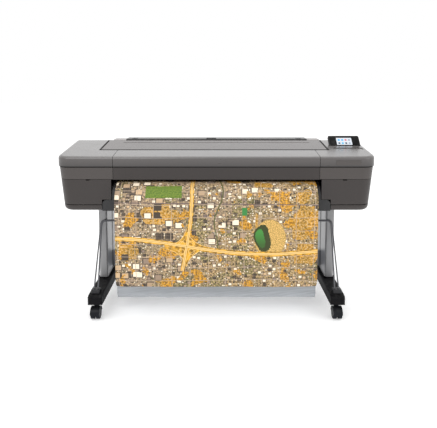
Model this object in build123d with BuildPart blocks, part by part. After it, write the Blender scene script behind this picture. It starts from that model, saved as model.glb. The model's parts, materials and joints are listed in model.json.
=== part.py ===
from build123d import *
import math
import os

os.makedirs("parts", exist_ok=True)

# Millimetres. +X is the right-hand side, -Y the front, +Z up, and the floor is Z = 0.
# ---------------------------------------------------------------- driving sizes
HALF_WIDTH = 901.0  # outer half width of the upper shell
TOTAL_DEPTH = 695.0  # length of a foot, front to back
TOTAL_HEIGHT = 998.0  # floor to the top edge of the touch screen
WALL = 3.0  # moulded shell thickness
GAP = 0.5  # shut line between neighbouring covers
SEAM = 2.4  # open joint between a centre cover and a side module
DOOR_GAP = 2.0  # joint above an ink door
WINDOW_GAP = 2.6  # joint along each side of the window

BASE_Z = 605.0  # underside of the machine body
PAN_TOP = 638.0  # shut line between the base pan and the doors
DOOR_TOP = 786.0  # shut line above the ink doors
GROOVE_LOW = 853.0  # top of the lower shell
GROOVE_HIGH = 858.0  # bottom edge of the upper shell
FRONT_TOP = 914.0
RIDGE_Z = 961.0
RIDGE_Y = 150.0
REAR_TOP = 915.0
FRONT_Y = -262.0
BACK_Y = 300.0
LOWER_FRONT_Y = -256.0
CENTRE_HALF = 582.0  # half width of the centre covers between the two side modules

WINDOW_LEFT = -691.0
WINDOW_RIGHT = 664.0
WINDOW_FRONT_Y = -112.0
WINDOW_BACK_Y = 146.0
TOP_ANGLE = math.degrees(math.atan2(RIDGE_Z - FRONT_TOP, RIDGE_Y - FRONT_Y))

COLUMN_X = 682.0  # centre of a leg column
COLUMN_W = 52.0
COLUMN_FRONT = -100.0
COLUMN_BACK = 140.0
FOOT_X = 676.0
FOOT_W = 80.0
FOOT_LOW = 92.0
FOOT_TOP = 150.0
CASTER_X = 680.0
CASTER_Y = 288.0
WHEEL_R = 32.0
WHEEL_TRAIL = 16.0

PAPER_HALF = 559.0  # half of the 1118 mm roll width
PAPER_T = 0.4
PLATEN_Z = 768.0
ROLL_Y = 226.0
ROLL_Z = 880.0
ROLL_R = 52.0
INNER_PLATE_X = 620.0
END_PLATE_X = 842.0
RUNNING_FIT = 0.05  # radial clearance of a shaft in its own bore
FAR = 1200.0  # beyond every face of the object, for cuts that run right through

# Rounds of the two shells.
REAR_ROUND = 60.0  # rear top edge of the upper shell, seen from the side
FRONT_CORNER = 70.0  # corners of the upper shell, seen from above
BACK_CORNER = 50.0
TOP_EDGE = 20.0
RIM_Z = 870.0  # the upper shell's edges above this level are rounded
LOWER_INSET = 4.0  # the lower shell's back and corners stand this far inside the upper shell's
LOWER_EDGE = 24.0  # bottom edge of the lower shell
LOWER_HALF = 870.0  # half width of the lower shell at its bottom
LOWER_HALF_TOP = 896.0
HULL_LOW = 700.0  # bottom of the upper master, well below the cut edge


# ---------------------------------------------------------------- shared helpers
def save(piece, label):
    """Name a finished sub-part and write it as its own file."""
    piece.part.label = label
    export_step(piece.part, f"parts/{label}.step")


def save_group(solids, label):
    """Write several matching solids as one named sub-part."""
    with BuildPart() as group:
        for solid in solids:
            add(solid)
    save(group, label)


def block(x0, x1, y0, y1, z0, z1, mode=Mode.ADD):
    """Axis-aligned block between two opposite corners."""
    with Locations(((x0 + x1) / 2, (y0 + y1) / 2, (z0 + z1) / 2)):
        Box(x1 - x0, y1 - y0, z1 - z0, mode=mode)


def cut_away(x0=-FAR, x1=FAR, y0=-FAR, y1=FAR, z0=-FAR, z1=FAR):
    """Remove what lies inside a box; a side that isn't given runs right through."""
    block(x0, x1, y0, y1, z0, z1, mode=Mode.SUBTRACT)


def mirrored(side, inner, outer):
    """Two distances from the middle as positions on the given side, the lower one first."""
    return sorted((side * inner, side * outer))


def rod_x(x0, x1, y, z, radius, mode=Mode.ADD):
    """Round bar or hole running along X."""
    with BuildSketch(Plane.YZ.offset(x0)) as disc:
        with Locations((y, z)):
            Circle(radius)
    extrude(disc.sketch, amount=x1 - x0, mode=mode)


def rod_y(x, y0, y1, z, radius, mode=Mode.ADD):
    """Round bar or hole running along Y."""
    with BuildSketch(Plane.XZ.offset(-y0)) as disc:
        with Locations((x, z)):
            Circle(radius)
    extrude(disc.sketch, amount=-(y1 - y0), mode=mode)


def rod_z(x, y, z0, z1, radius, mode=Mode.ADD):
    """Round bar or hole running along Z."""
    with BuildSketch(Plane.XY.offset(z0)) as disc:
        with Locations((x, y)):
            Circle(radius)
    extrude(disc.sketch, amount=z1 - z0, mode=mode)


def side_profile(points, x0, x1, rounds=(), mode=Mode.ADD):
    """Closed outline in the YZ plane, some corners rounded, extruded from x0 to x1."""
    with BuildSketch(Plane.YZ.offset(x0)) as outline:
        with BuildLine():
            Polyline(*points, close=True)
        make_face()
        for corner, radius in rounds:
            fillet(vertices().sort_by_distance(corner)[0:1], radius)
    extrude(outline.sketch, amount=x1 - x0, mode=mode)


def top_z(y):
    """Height of the sloping top face at depth y."""
    return FRONT_TOP + (y - FRONT_Y) * (RIDGE_Z - FRONT_TOP) / (RIDGE_Y - FRONT_Y)


def upright(edge):
    """True for a straight vertical edge."""
    return edge.geom_type == GeomType.LINE and abs(edge.tangent_at(0).Z) > 0.99


def on_ridge(edge):
    """True for the long edge where the two slopes of the top meet."""
    middle = edge.center()
    return abs(middle.X) <= 5 and abs(middle.Y - RIDGE_Y) <= 60


def upper_hull(inset):
    """Outer form of the upper shell, or its inside when inset is the wall thickness."""
    with BuildPart() as hull:
        with BuildSketch(Plane.YZ):
            with BuildLine():
                Polyline(
                    (FRONT_Y, HULL_LOW),
                    (FRONT_Y, FRONT_TOP),
                    (RIDGE_Y, RIDGE_Z),
                    (BACK_Y, REAR_TOP),
                    (BACK_Y, HULL_LOW),
                    close=True,
                )
            make_face()
            fillet(vertices().group_by(Axis.Y)[-1], REAR_ROUND)
            if inset:
                offset(amount=-inset, mode=Mode.REPLACE)
        extrude(amount=HALF_WIDTH - inset, both=True)
        with BuildSketch(Plane.XY):
            with BuildLine():
                Polyline(
                    (-HALF_WIDTH, FRONT_Y),
                    (HALF_WIDTH, FRONT_Y),
                    (HALF_WIDTH, BACK_Y),
                    (-HALF_WIDTH, BACK_Y),
                    close=True,
                )
            make_face()
            fillet(vertices().group_by(Axis.Y)[0], FRONT_CORNER)
            fillet(vertices().group_by(Axis.Y)[-1], BACK_CORNER)
            if inset:
                offset(amount=-inset, mode=Mode.REPLACE)
        extrude(amount=FAR, mode=Mode.INTERSECT)
        rim = edges().filter_by(lambda e: e.center().Z > RIM_Z and not upright(e))
        fillet(rim.filter_by(lambda e: not on_ridge(e)), TOP_EDGE - inset)
    return hull.part


def lower_hull(inset):
    """Outer form of the lower shell: sides lean in towards a rounded bottom."""
    with BuildPart() as hull:
        levels = ((BASE_Z + inset, LOWER_HALF), (GROOVE_LOW + 2 * inset, LOWER_HALF_TOP))
        for height, half in levels:
            with BuildSketch(Plane.XY.offset(height)):
                with BuildLine():
                    Polyline(
                        (-half, LOWER_FRONT_Y),
                        (half, LOWER_FRONT_Y),
                        (half, BACK_Y - LOWER_INSET),
                        (-half, BACK_Y - LOWER_INSET),
                        close=True,
                    )
                make_face()
                fillet(vertices().group_by(Axis.Y)[0], FRONT_CORNER - LOWER_INSET)
                fillet(vertices().group_by(Axis.Y)[-1], BACK_CORNER - LOWER_INSET)
                if inset:
                    offset(amount=-inset, mode=Mode.REPLACE)
        loft()
        fillet(edges().group_by(Axis.Z)[0], LOWER_EDGE - inset)
    return hull.part


# Thin-walled masters that every outside cover is cut from.
with BuildPart() as upper_shell:
    add(upper_hull(0))
    add(upper_hull(WALL), mode=Mode.SUBTRACT)
    cut_away(z1=GROOVE_HIGH)

with BuildPart() as lower_shell:
    add(lower_hull(0))
    add(lower_hull(WALL), mode=Mode.SUBTRACT)


# ---------------------------------------------------------------- casters
AXLE_R = 4.0
STEM_R = 5.5
STEM_TOP = FOOT_LOW + 24
COLLAR_Z = 84.0
HOOD_R = 38.0
HOOD_T = 4.0
HOOD_HALF = 26.0  # half width of the hood over both wheels
HOOD_LOW = WHEEL_R + 1
WEB_R = 36.0
WEB_HALF = 4.0
BOSS_HALF = 10.0
WHEEL_INNER = 4.6  # swivel axis to the inner face of a wheel
WHEEL_OUTER = 25.4
WHEEL_CLEARANCE = 1.5
RECESS_R = 22.0  # ring-shaped recess in a wheel's outer face
RECESS_HUB_R = 9.0
RECESS_DEPTH = 3.0


def caster_centre(side, end):
    """Swivel axis of one caster: side is -1 left or 1 right, end is -1 front or 1 back."""
    return side * CASTER_X, end * CASTER_Y


def caster_fork(side, end, label):
    """Hood, centre web and swivel stem of one twin-wheel caster."""
    x, y = caster_centre(side, end)
    wheel_y = y + end * WHEEL_TRAIL
    boss = (wheel_y - BOSS_HALF, wheel_y + BOSS_HALF, WHEEL_R - BOSS_HALF, HOOD_LOW + 3)
    with BuildPart() as fork:
        with BuildSketch(Plane.YZ.offset(x)):
            with Locations((wheel_y, WHEEL_R)):
                Circle(HOOD_R)
                Circle(HOOD_R - HOOD_T, mode=Mode.SUBTRACT)
        extrude(amount=HOOD_HALF, both=True)
        rod_x(x - WEB_HALF, x + WEB_HALF, wheel_y, WHEEL_R, WEB_R)
        rod_z(x, y, 60, COLLAR_Z + 2, 14)
        rod_z(x, y, COLLAR_Z, FOOT_LOW - GAP, 17)
        rod_z(x, y, COLLAR_Z, STEM_TOP, STEM_R)
        cut_away(z1=HOOD_LOW)
        block(x - WEB_HALF, x + WEB_HALF, *boss)
        for flank in (-1, 1):
            near, far = mirrored(flank, WEB_HALF + 0.1, HOOD_HALF - 0.1)
            rod_x(x + near, x + far, wheel_y, WHEEL_R, WHEEL_R + WHEEL_CLEARANCE, mode=Mode.SUBTRACT)
        rod_x(x - 5, x + 5, wheel_y, WHEEL_R, AXLE_R + RUNNING_FIT, mode=Mode.SUBTRACT)
    save(fork, label)


def caster_wheels(side, end, label):
    """Two wheels joined by the axle that runs in the fork's bore."""
    x, y = caster_centre(side, end)
    wheel_y = y + end * WHEEL_TRAIL
    with BuildPart() as wheels:
        for flank in (-1, 1):
            near, far = mirrored(flank, WHEEL_INNER, WHEEL_OUTER)
            rod_x(x + near, x + far, wheel_y, WHEEL_R, WHEEL_R)
        rims = edges().filter_by(GeomType.CIRCLE)
        fillet(rims, 3)
        rod_x(x - WHEEL_INNER - 1.4, x + WHEEL_INNER + 1.4, wheel_y, WHEEL_R, AXLE_R)
        for flank in (-1, 1):
            near, far = mirrored(flank, WHEEL_OUTER - RECESS_DEPTH, WHEEL_OUTER)
            with BuildSketch(Plane.YZ.offset(x + near)):
                with Locations((wheel_y, WHEEL_R)):
                    Circle(RECESS_R)
                    Circle(RECESS_HUB_R, mode=Mode.SUBTRACT)
            extrude(amount=far - near, mode=Mode.SUBTRACT)
    save(wheels, label)


for side_name, side in (("left", -1), ("right", 1)):
    for end_name, end in (("front", -1), ("back", 1)):
        caster_fork(side, end, f"caster_fork_{side_name}_{end_name}")
        caster_wheels(side, end, f"caster_wheels_{side_name}_{end_name}")


# ---------------------------------------------------------------- feet
FOOT_NOSE = 60.0  # length of the sloped stretch at each end of a foot
FOOT_DROP = 14.0
FOOT_TOE = 10.0
FOOT_ROUND = 8.0
POCKET_X = 35.0  # half sizes of the hollow underneath
POCKET_Y = 255.0
POCKET_TOP = FOOT_TOP - 4


def foot(side, label):
    """Long hollow foot with sloped ends and a bored boss over each caster."""
    x = side * FOOT_X
    half = TOTAL_DEPTH / 2
    with BuildPart() as body:
        side_profile(
            (
                (-half, FOOT_LOW + FOOT_ROUND),
                (-half, FOOT_TOP - FOOT_DROP),
                (-half + FOOT_NOSE, FOOT_TOP),
                (half - FOOT_NOSE, FOOT_TOP),
                (half, FOOT_TOP - FOOT_DROP),
                (half, FOOT_LOW + FOOT_ROUND),
                (half - FOOT_TOE, FOOT_LOW),
                (-half + FOOT_TOE, FOOT_LOW),
            ),
            x - FOOT_W / 2,
            x + FOOT_W / 2,
        )
        corner_edges = edges().filter_by(Axis.Z)
        chamfer(corner_edges, FOOT_TOE)
        long_edges = edges().filter_by(Axis.Y).group_by(Axis.Z)[-1]
        fillet(long_edges, FOOT_ROUND)
        cut_away(x - POCKET_X, x + POCKET_X, -POCKET_Y, POCKET_Y, z1=POCKET_TOP)
        for end in (-1, 1):
            cx, cy = caster_centre(side, end)
            rod_z(cx, cy, FOOT_LOW - 1, STEM_TOP + 1, STEM_R + RUNNING_FIT, mode=Mode.SUBTRACT)
    save(body, label)


foot(-1, "left_foot")
foot(1, "right_foot")


# ---------------------------------------------------------------- columns and brace
COLUMN_TOP = 597.0
COLUMN_END = 4.0  # closed ends of the hollow column
COLUMN_ROUND = 12.0
TRACK_DEPTH = 3.0  # cable groove down the inner face
TRACK_FRONT = 20.0
TRACK_BACK = 52.0


def column(side, label):
    """Hollow leg column with a long groove down its inner face."""
    x = side * COLUMN_X
    inner_x = x - side * COLUMN_W / 2
    with BuildPart() as body:
        block(x - COLUMN_W / 2, x + COLUMN_W / 2, COLUMN_FRONT, COLUMN_BACK, FOOT_TOP, COLUMN_TOP)
        fillet(edges().filter_by(Axis.Z), COLUMN_ROUND)
        cut_away(
            x - COLUMN_W / 2 + WALL + TRACK_DEPTH,
            x + COLUMN_W / 2 - WALL,
            COLUMN_FRONT + WALL,
            COLUMN_BACK - WALL,
            FOOT_TOP + COLUMN_END,
            COLUMN_TOP - COLUMN_END,
        )
        x0, x1 = sorted((inner_x, inner_x + side * TRACK_DEPTH))
        cut_away(x0, x1, TRACK_FRONT, TRACK_BACK, FOOT_TOP + 10, COLUMN_TOP - 7)
    save(body, label)


column(-1, "left_column")
column(1, "right_column")


def top_bracket(side):
    """Steel plate bolted between a column and the machine body."""
    x = side * COLUMN_X
    with BuildPart() as plate:
        block(x - FOOT_W / 2, x + FOOT_W / 2, COLUMN_FRONT - 10, COLUMN_BACK + 10, COLUMN_TOP, BASE_Z)
        fillet(edges().filter_by(Axis.Z), 10)
    return plate.part


save_group([top_bracket(-1), top_bracket(1)], "top_brackets")

BRACE_X = COLUMN_X - COLUMN_W / 2
BRACE_LOW = 156.0
BRACE_TOP = 250.0
BRACE_FRONT = 80.0
BRACE_DEPTH = 32.0
BRACE_BOLTS = [(side * 636.0, z) for side in (-1, 1) for z in (182.0, 216.0)]
BOLT_R = 4.0
BOLT_HEAD_R = 8.0
BOLT_HEAD = 5.0

with BuildPart() as cross_brace:
    block(-BRACE_X, BRACE_X, BRACE_FRONT, BRACE_FRONT + BRACE_DEPTH, BRACE_LOW, BRACE_TOP)
    fillet(edges().filter_by(Axis.X).group_by(Axis.Y)[0], 5)
    cut_away(
        -BRACE_X + 4,
        BRACE_X - 4,
        y0=BRACE_FRONT + WALL,
        z0=BRACE_LOW + WALL,
        z1=BRACE_TOP - WALL,
    )
    for bolt_x, bolt_z in BRACE_BOLTS:
        rod_y(bolt_x, BRACE_FRONT - 1, BRACE_FRONT + 4, bolt_z, BOLT_R + 0.2, mode=Mode.SUBTRACT)
save(cross_brace, "cross_brace")

with BuildPart() as brace_bolts:
    for bolt_x, bolt_z in BRACE_BOLTS:
        rod_y(bolt_x, BRACE_FRONT - BOLT_HEAD, BRACE_FRONT, bolt_z, BOLT_HEAD_R)
        rod_y(bolt_x, BRACE_FRONT - 1, BRACE_FRONT + 18, bolt_z, BOLT_R)
        with BuildSketch(Plane.XZ.offset(-(BRACE_FRONT - BOLT_HEAD))):
            with Locations((bolt_x, bolt_z)):
                RegularPolygon(3, 6)
        extrude(amount=-3, mode=Mode.SUBTRACT)
save(brace_bolts, "brace_bolts")

# ---------------------------------------------------------------- catch basket
ROD_R = 4.0
CLIP_Y = -300.0
HOOPS = (  # half width, then Y and Z of the top bar: rear hoop, front hoop
    (690.0, -104.3, 507.0),
    (668.0, -176.0, 524.0),
)


def hoop_path(half, bar_y, bar_z):
    """Centre line of one hoop: up from a foot clip, across, and down to the other clip."""
    return FilletPolyline(
        (-half, CLIP_Y, FOOT_TOP + 4),
        (-half, bar_y, bar_z),
        (half, bar_y, bar_z),
        (half, CLIP_Y, FOOT_TOP + 4),
        radius=24,
    )


def hoop(half, bar_y, bar_z, radius):
    """Round wire bent into one hoop."""
    with BuildPart() as wire:
        with BuildLine():
            path = hoop_path(half, bar_y, bar_z)
        with BuildSketch(Plane(origin=path @ 0, z_dir=path % 0)):
            Circle(radius)
        sweep()
    return wire


save_group([hoop(*size, ROD_R).part for size in HOOPS], "basket_hoops")


CLIP_INNER = 655.0
CLIP_OUTER = 703.0
CLIP_TOP = FOOT_TOP + 20


def rod_clip(side):
    """Moulded clip on a foot with a slanting socket for each hoop end."""
    with BuildPart() as clip:
        x0, x1 = mirrored(side, CLIP_INNER, CLIP_OUTER)
        block(x0, x1, CLIP_Y - 18, CLIP_Y + 24, FOOT_TOP, CLIP_TOP)
        fillet(edges().filter_by(Axis.Z), 6)
        fillet(edges().group_by(Axis.Z)[-1], 3)
        for size in HOOPS:
            add(hoop(*size, ROD_R + RUNNING_FIT).part, mode=Mode.SUBTRACT)
    return clip.part


save_group([rod_clip(-1), rod_clip(1)], "rod_clips")

FABRIC_HALF = 575.0
FABRIC_T = 2.0
FABRIC_LOW = 68.0  # middle of the cloth where it hangs lowest
REAR_BAR = HOOPS[0][1:]
FRONT_BAR = HOOPS[1][1:]

with BuildPart() as basket_fabric:
    with BuildSketch(Plane.YZ.offset(-FABRIC_HALF)):
        with BuildLine() as drape:
            FilletPolyline(
                (REAR_BAR[0] - 6, REAR_BAR[1]),
                (REAR_BAR[0] - 14, FABRIC_LOW),
                (-236, FABRIC_LOW),
                (FRONT_BAR[0] - 6, FRONT_BAR[1]),
                radius=48,
            )
        trace(line_width=FABRIC_T)
        for bar_y, bar_z in (REAR_BAR, FRONT_BAR):
            with Locations((bar_y, bar_z)):
                Circle(ROD_R + 3)
        for bar_y, bar_z in (REAR_BAR, FRONT_BAR):
            with Locations((bar_y, bar_z)):
                Circle(ROD_R + 0.2, mode=Mode.SUBTRACT)
    extrude(amount=2 * FABRIC_HALF)
    cut_away(y0=COLUMN_FRONT - GAP)
save(basket_fabric, "basket_fabric")

# ---------------------------------------------------------------- lower covers
GUIDE_HALF = 588.0
FLANGE_HALF = 643.0
FLANGE_TOP = 668.0
GUIDE_TOP_Z = 764.0
GUIDE_BACK_Y = -150.0
GUIDE_T = 4.0
GUIDE_ROUND = 84.0  # paper path over the front edge
GUIDE_SEAT_Y = -238.0  # back edge of the pan's cut-out for the guide

with BuildPart() as base_pan:
    add(lower_shell.part)
    cut_away(z0=PAN_TOP)
    cut_away(-FLANGE_HALF - 3, FLANGE_HALF + 3, y1=GUIDE_SEAT_Y)
save(base_pan, "base_pan")

with BuildPart() as exit_guide:
    side_profile(
        (
            (GUIDE_BACK_Y, GUIDE_TOP_Z),
            (LOWER_FRONT_Y, GUIDE_TOP_Z),
            (LOWER_FRONT_Y, BASE_Z + 6),
            (LOWER_FRONT_Y + GUIDE_T, BASE_Z + 6),
            (LOWER_FRONT_Y + GUIDE_T, GUIDE_TOP_Z - GUIDE_T),
            (GUIDE_BACK_Y, GUIDE_TOP_Z - GUIDE_T),
        ),
        -GUIDE_HALF,
        GUIDE_HALF,
        rounds=(
            ((LOWER_FRONT_Y, GUIDE_TOP_Z), GUIDE_ROUND),
            ((LOWER_FRONT_Y + GUIDE_T, GUIDE_TOP_Z - GUIDE_T), GUIDE_ROUND - GUIDE_T),
        ),
    )
    with BuildSketch(Plane.XZ.offset(-LOWER_FRONT_Y)):
        with BuildLine():
            Polyline(
                (-FLANGE_HALF, BASE_Z),
                (FLANGE_HALF, BASE_Z),
                (FLANGE_HALF, FLANGE_TOP),
                (-FLANGE_HALF, FLANGE_TOP),
                close=True,
            )
        make_face()
        fillet(vertices().group_by(Axis.Y)[-1], 24)
    extrude(amount=-GUIDE_T)
    block(-FLANGE_HALF, FLANGE_HALF, LOWER_FRONT_Y, GUIDE_SEAT_Y - GAP, BASE_Z, BASE_Z + WALL)
    for rib in range(-5, 6):
        side_profile(
            (
                (LOWER_FRONT_Y + GUIDE_T, BASE_Z + WALL),
                (GUIDE_SEAT_Y - GAP, BASE_Z + WALL),
                (LOWER_FRONT_Y + GUIDE_T, BASE_Z + 40),
            ),
            rib * 110.0 - 1.5,
            rib * 110.0 + 1.5,
        )
save(exit_guide, "exit_guide")

PANEL_LOW = DOOR_TOP - 2
PANEL_LIP = 16.0  # depth of the stiffening lip behind the panel's lower edge

with BuildPart() as front_lower_panel:
    add(lower_shell.part)
    cut_away(z1=PANEL_LOW)
    cut_away(y0=-230)
    cut_away(x1=-CENTRE_HALF + SEAM)
    cut_away(x0=CENTRE_HALF - SEAM)
    side_profile(
        (
            (LOWER_FRONT_Y + WALL, PANEL_LOW),
            (LOWER_FRONT_Y + WALL + PANEL_LIP, PANEL_LOW + 4),
            (LOWER_FRONT_Y + WALL + PANEL_LIP, PANEL_LOW + 7),
            (LOWER_FRONT_Y + WALL, PANEL_LOW + 7),
        ),
        -CENTRE_HALF + SEAM,
        CENTRE_HALF - SEAM,
    )
save(front_lower_panel, "front_lower_panel")

DOOR_INNER = 592.0
DOOR_BACK_Y = -190.0
NOTCH_X = 722.0  # finger notch in a door's upper edge
NOTCH_HALF = 12.0
NOTCH_DEPTH = 7.0
HINGE_Y = LOWER_FRONT_Y + WALL + 5
DOOR_HINGE_Z = PAN_TOP + 9
DOOR_KNUCKLES = (668.0, 786.0)  # inner end of each knuckle, from the middle
KNUCKLE_W = 16.0
KNUCKLE_R = 4.0
PIN_R = 2.0
EAR_T = 4.0
EAR_GAP = 2.0  # along the pin, between a knuckle and the ear beside it


def door_zone(side, top, back_y, bottom):
    """Region one front door fills; its rear edge is rounded so that the door can swing."""
    x0, x1 = mirrored(side, 0, FAR)
    with BuildPart() as zone:
        rod_x(x0, x1, HINGE_Y, DOOR_HINGE_Z, top - DOOR_HINGE_Z)
        block(x0, x1, -FAR, HINGE_Y, bottom, top)
        cut_away(y0=back_y)
        cut_away(z1=bottom)
    return zone.part


def ink_door(side, label):
    """Wrap-round front door over the ink bay, with two hinge knuckles at its lower edge."""
    with BuildPart() as door:
        add(lower_shell.part)
        add(door_zone(side, DOOR_TOP - DOOR_GAP, DOOR_BACK_Y, PAN_TOP + 4), mode=Mode.INTERSECT)
        cut_away(*mirrored(side, 0, DOOR_INNER))
        cut_away(*mirrored(side, 0, FLANGE_HALF + 2), z1=FLANGE_TOP + 2)
        notch = mirrored(side, NOTCH_X - NOTCH_HALF, NOTCH_X + NOTCH_HALF)
        cut_away(*notch, z0=DOOR_TOP - NOTCH_DEPTH)
        for knuckle_x in DOOR_KNUCKLES:
            x0, x1 = mirrored(side, knuckle_x, knuckle_x + KNUCKLE_W)
            root = (DOOR_HINGE_Z - KNUCKLE_R, DOOR_HINGE_Z + KNUCKLE_R)
            block(x0, x1, LOWER_FRONT_Y + 2, HINGE_Y, *root)
            rod_x(x0, x1, HINGE_Y, DOOR_HINGE_Z, KNUCKLE_R)
            rod_x(x0 - 1, x1 + 1, HINGE_Y, DOOR_HINGE_Z, PIN_R + RUNNING_FIT, mode=Mode.SUBTRACT)
    save(door, label)


ink_door(-1, "left_ink_door")
ink_door(1, "right_ink_door")


def door_hinge(side):
    """Bent steel bracket standing on the base pan and carrying the door's hinge pin."""
    x0, x1 = mirrored(side, DOOR_KNUCKLES[0] - 8, DOOR_KNUCKLES[1] + 24)
    with BuildPart() as bracket:
        block(x0, x1, HINGE_Y + 18, HINGE_Y + 20, BASE_Z + WALL, DOOR_HINGE_Z + 3)
        block(x0, x1, HINGE_Y + 18, HINGE_Y + 34, BASE_Z + WALL, BASE_Z + WALL + 2)
        for knuckle_x in DOOR_KNUCKLES:
            for ear_x in (knuckle_x - EAR_T - 3, knuckle_x + KNUCKLE_W + EAR_GAP):
                e0, e1 = mirrored(side, ear_x, ear_x + EAR_T)
                block(e0, e1, HINGE_Y - 2, HINGE_Y + 19, DOOR_HINGE_Z - 3, DOOR_HINGE_Z + 3)
        rod_x(x0 + 1, x1 - 1, HINGE_Y, DOOR_HINGE_Z, PIN_R)
    return bracket.part


save_group([door_hinge(-1), door_hinge(1)], "door_hinges")


def side_cover(side, label):
    """Lower side cover: band above the door, outer wall and rear corner."""
    with BuildPart() as cover:
        add(lower_shell.part)
        cut_away(z1=PAN_TOP + GAP)
        cut_away(z0=GROOVE_LOW - GAP)
        cut_away(*mirrored(side, -FAR, CENTRE_HALF))
        add(door_zone(side, DOOR_TOP, DOOR_BACK_Y + 1, BASE_Z), mode=Mode.SUBTRACT)
    save(cover, label)


side_cover(-1, "left_side_cover")
side_cover(1, "right_side_cover")

INLET_LEFT = -470.0
INLET_RIGHT = -370.0
INLET_LOW = 660.0
INLET_TOP = 740.0
VENT_LOW = 680.0
VENT_ROWS = 6
VENT_RISE = 22.0
VENT_PITCH = 46.0
VENT_SLOT = (34.0, 6.0)  # length and height of one slot

with BuildPart() as rear_cover:
    add(lower_shell.part)
    cut_away(y1=200)
    cut_away(z1=PAN_TOP + GAP)
    cut_away(z0=GROOVE_LOW - GAP)
    cut_away(x1=-CENTRE_HALF + GAP)
    cut_away(x0=CENTRE_HALF - GAP)
    cut_away(INLET_LEFT, INLET_RIGHT, y0=290, z0=INLET_LOW, z1=INLET_TOP)
    for row in range(VENT_ROWS):
        z = VENT_LOW + row * VENT_RISE
        for column_index in range(-6, 12):
            x = column_index * VENT_PITCH
            cut_away(x, x + VENT_SLOT[0], 285, z0=z, z1=z + VENT_SLOT[1])
save(rear_cover, "rear_cover")

SWITCH_PIVOT = (291.0, 700.0)
SWITCH_LEFT = -399.7
SWITCH_RIGHT = -380.3

with BuildPart() as power_inlet:
    block(INLET_LEFT, INLET_RIGHT, 270, 296, INLET_LOW, INLET_TOP)
    block(-458, -410, 284, 297, 684, 716, mode=Mode.SUBTRACT)
    for pin_x in (-446, -434, -422):
        block(pin_x - 1, pin_x + 1, 284, 294, 697, 703)
    block(-400, -380, 280, 297, 683, 717, mode=Mode.SUBTRACT)
    block(-403, -377, 270, 282, 681, 719)
    block(SWITCH_LEFT, SWITCH_RIGHT, 278, 283, 683.4, 716.6, mode=Mode.SUBTRACT)
    rod_x(-402.5, -377.5, *SWITCH_PIVOT, 1.5 + RUNNING_FIT, mode=Mode.SUBTRACT)
save(power_inlet, "power_inlet")

with BuildPart() as power_switch:
    side_profile(
        ((287.5, 685.5), (293.5, 685.5), (295.5, 700), (293.5, 714.5), (287.5, 714.5)),
        SWITCH_LEFT + 1.2,
        SWITCH_RIGHT - 1.2,
    )
    fillet(edges().filter_by(Axis.X).group_by(Axis.Y)[-1], 2)
    rod_x(-402, -378, *SWITCH_PIVOT, 1.5)
save(power_switch, "power_switch")

# ---------------------------------------------------------------- upper covers
SCREEN_X = 787.0
SCREEN_W = 190.0
SCREEN_L = 88.0
SCREEN_T = 15.0
SCREEN_ANGLE = 44.0
SCREEN_SIN = math.sin(math.radians(SCREEN_ANGLE))
SCREEN_COS = math.cos(math.radians(SCREEN_ANGLE))
SCREEN_MID_Z = TOTAL_HEIGHT - SCREEN_L / 2 * SCREEN_SIN
SCREEN_PLANE = Plane(
    origin=(SCREEN_X, 20.0, SCREEN_MID_Z),
    x_dir=(1, 0, 0),
    z_dir=(0, -SCREEN_SIN, SCREEN_COS),
)
TRAY_PLANE = Plane(
    origin=(SCREEN_X, -75.0, top_z(-75.0)),
    x_dir=(1, 0, 0),
    z_dir=(0, -math.sin(math.radians(TOP_ANGLE)), math.cos(math.radians(TOP_ANGLE))),
)
TRAY_W = 172.0  # shallow tray in front of the screen
TRAY_L = 44.0
TRAY_DEPTH = 3.5
ROLL_BAY_Y = 152.0
EAR_INNER = 583.0  # roll supports: the raised blocks each side of the roll bay
EAR_OUTER = 661.0
EAR_FRONT_Y = ROLL_BAY_Y + 2
EAR_TOP = 964.0


def end_cap(side, window_x, label):
    """Upper end cover with a recess for the window and a pocket for the roll support."""
    with BuildPart() as cap:
        add(upper_shell.part)
        cut_away(*mirrored(side, -FAR, CENTRE_HALF))
        cut_away(*mirrored(side, 0, window_x + WINDOW_GAP), WINDOW_FRONT_Y - 1, ROLL_BAY_Y, 880)
        cut_away(*mirrored(side, 0, EAR_OUTER + 1), ROLL_BAY_Y - 1)
        if side > 0:
            block(SCREEN_X - 92, SCREEN_X + 92, -106, -44, 916, 960)
            add(upper_hull(0), mode=Mode.INTERSECT)
            with BuildSketch(TRAY_PLANE):
                RectangleRounded(TRAY_W, TRAY_L, 8)
            extrude(amount=-TRAY_DEPTH, mode=Mode.SUBTRACT)
            with BuildSketch(SCREEN_PLANE.offset(2)):
                RectangleRounded(SCREEN_W + 3, SCREEN_L + 3, 10)
            extrude(amount=-SCREEN_T - 4, mode=Mode.SUBTRACT)
    save(cap, label)


end_cap(-1, -WINDOW_LEFT, "left_end_cap")
end_cap(1, WINDOW_RIGHT, "right_end_cap")

with BuildPart() as front_cover:
    add(upper_shell.part)
    cut_away(x1=-CENTRE_HALF + SEAM)
    cut_away(x0=CENTRE_HALF - SEAM)
    cut_away(y0=WINDOW_FRONT_Y - 1)
save(front_cover, "front_cover")

WINDOW_T = 5.0
WINDOW_PLANE = Plane(
    origin=(0, WINDOW_BACK_Y, top_z(WINDOW_BACK_Y) - 1),
    x_dir=(1, 0, 0),
    z_dir=(0, -math.sin(math.radians(TOP_ANGLE)), math.cos(math.radians(TOP_ANGLE))),
)
WINDOW_LENGTH = (WINDOW_BACK_Y - WINDOW_FRONT_Y) / math.cos(math.radians(TOP_ANGLE))
WINDOW_HINGE = (WINDOW_BACK_Y - 6.0, top_z(WINDOW_BACK_Y) - 9.0)
WINDOW_KNUCKLES = (-560, -200, 200, 560)
WINDOW_KNUCKLE_HALF = 9.0

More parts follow.
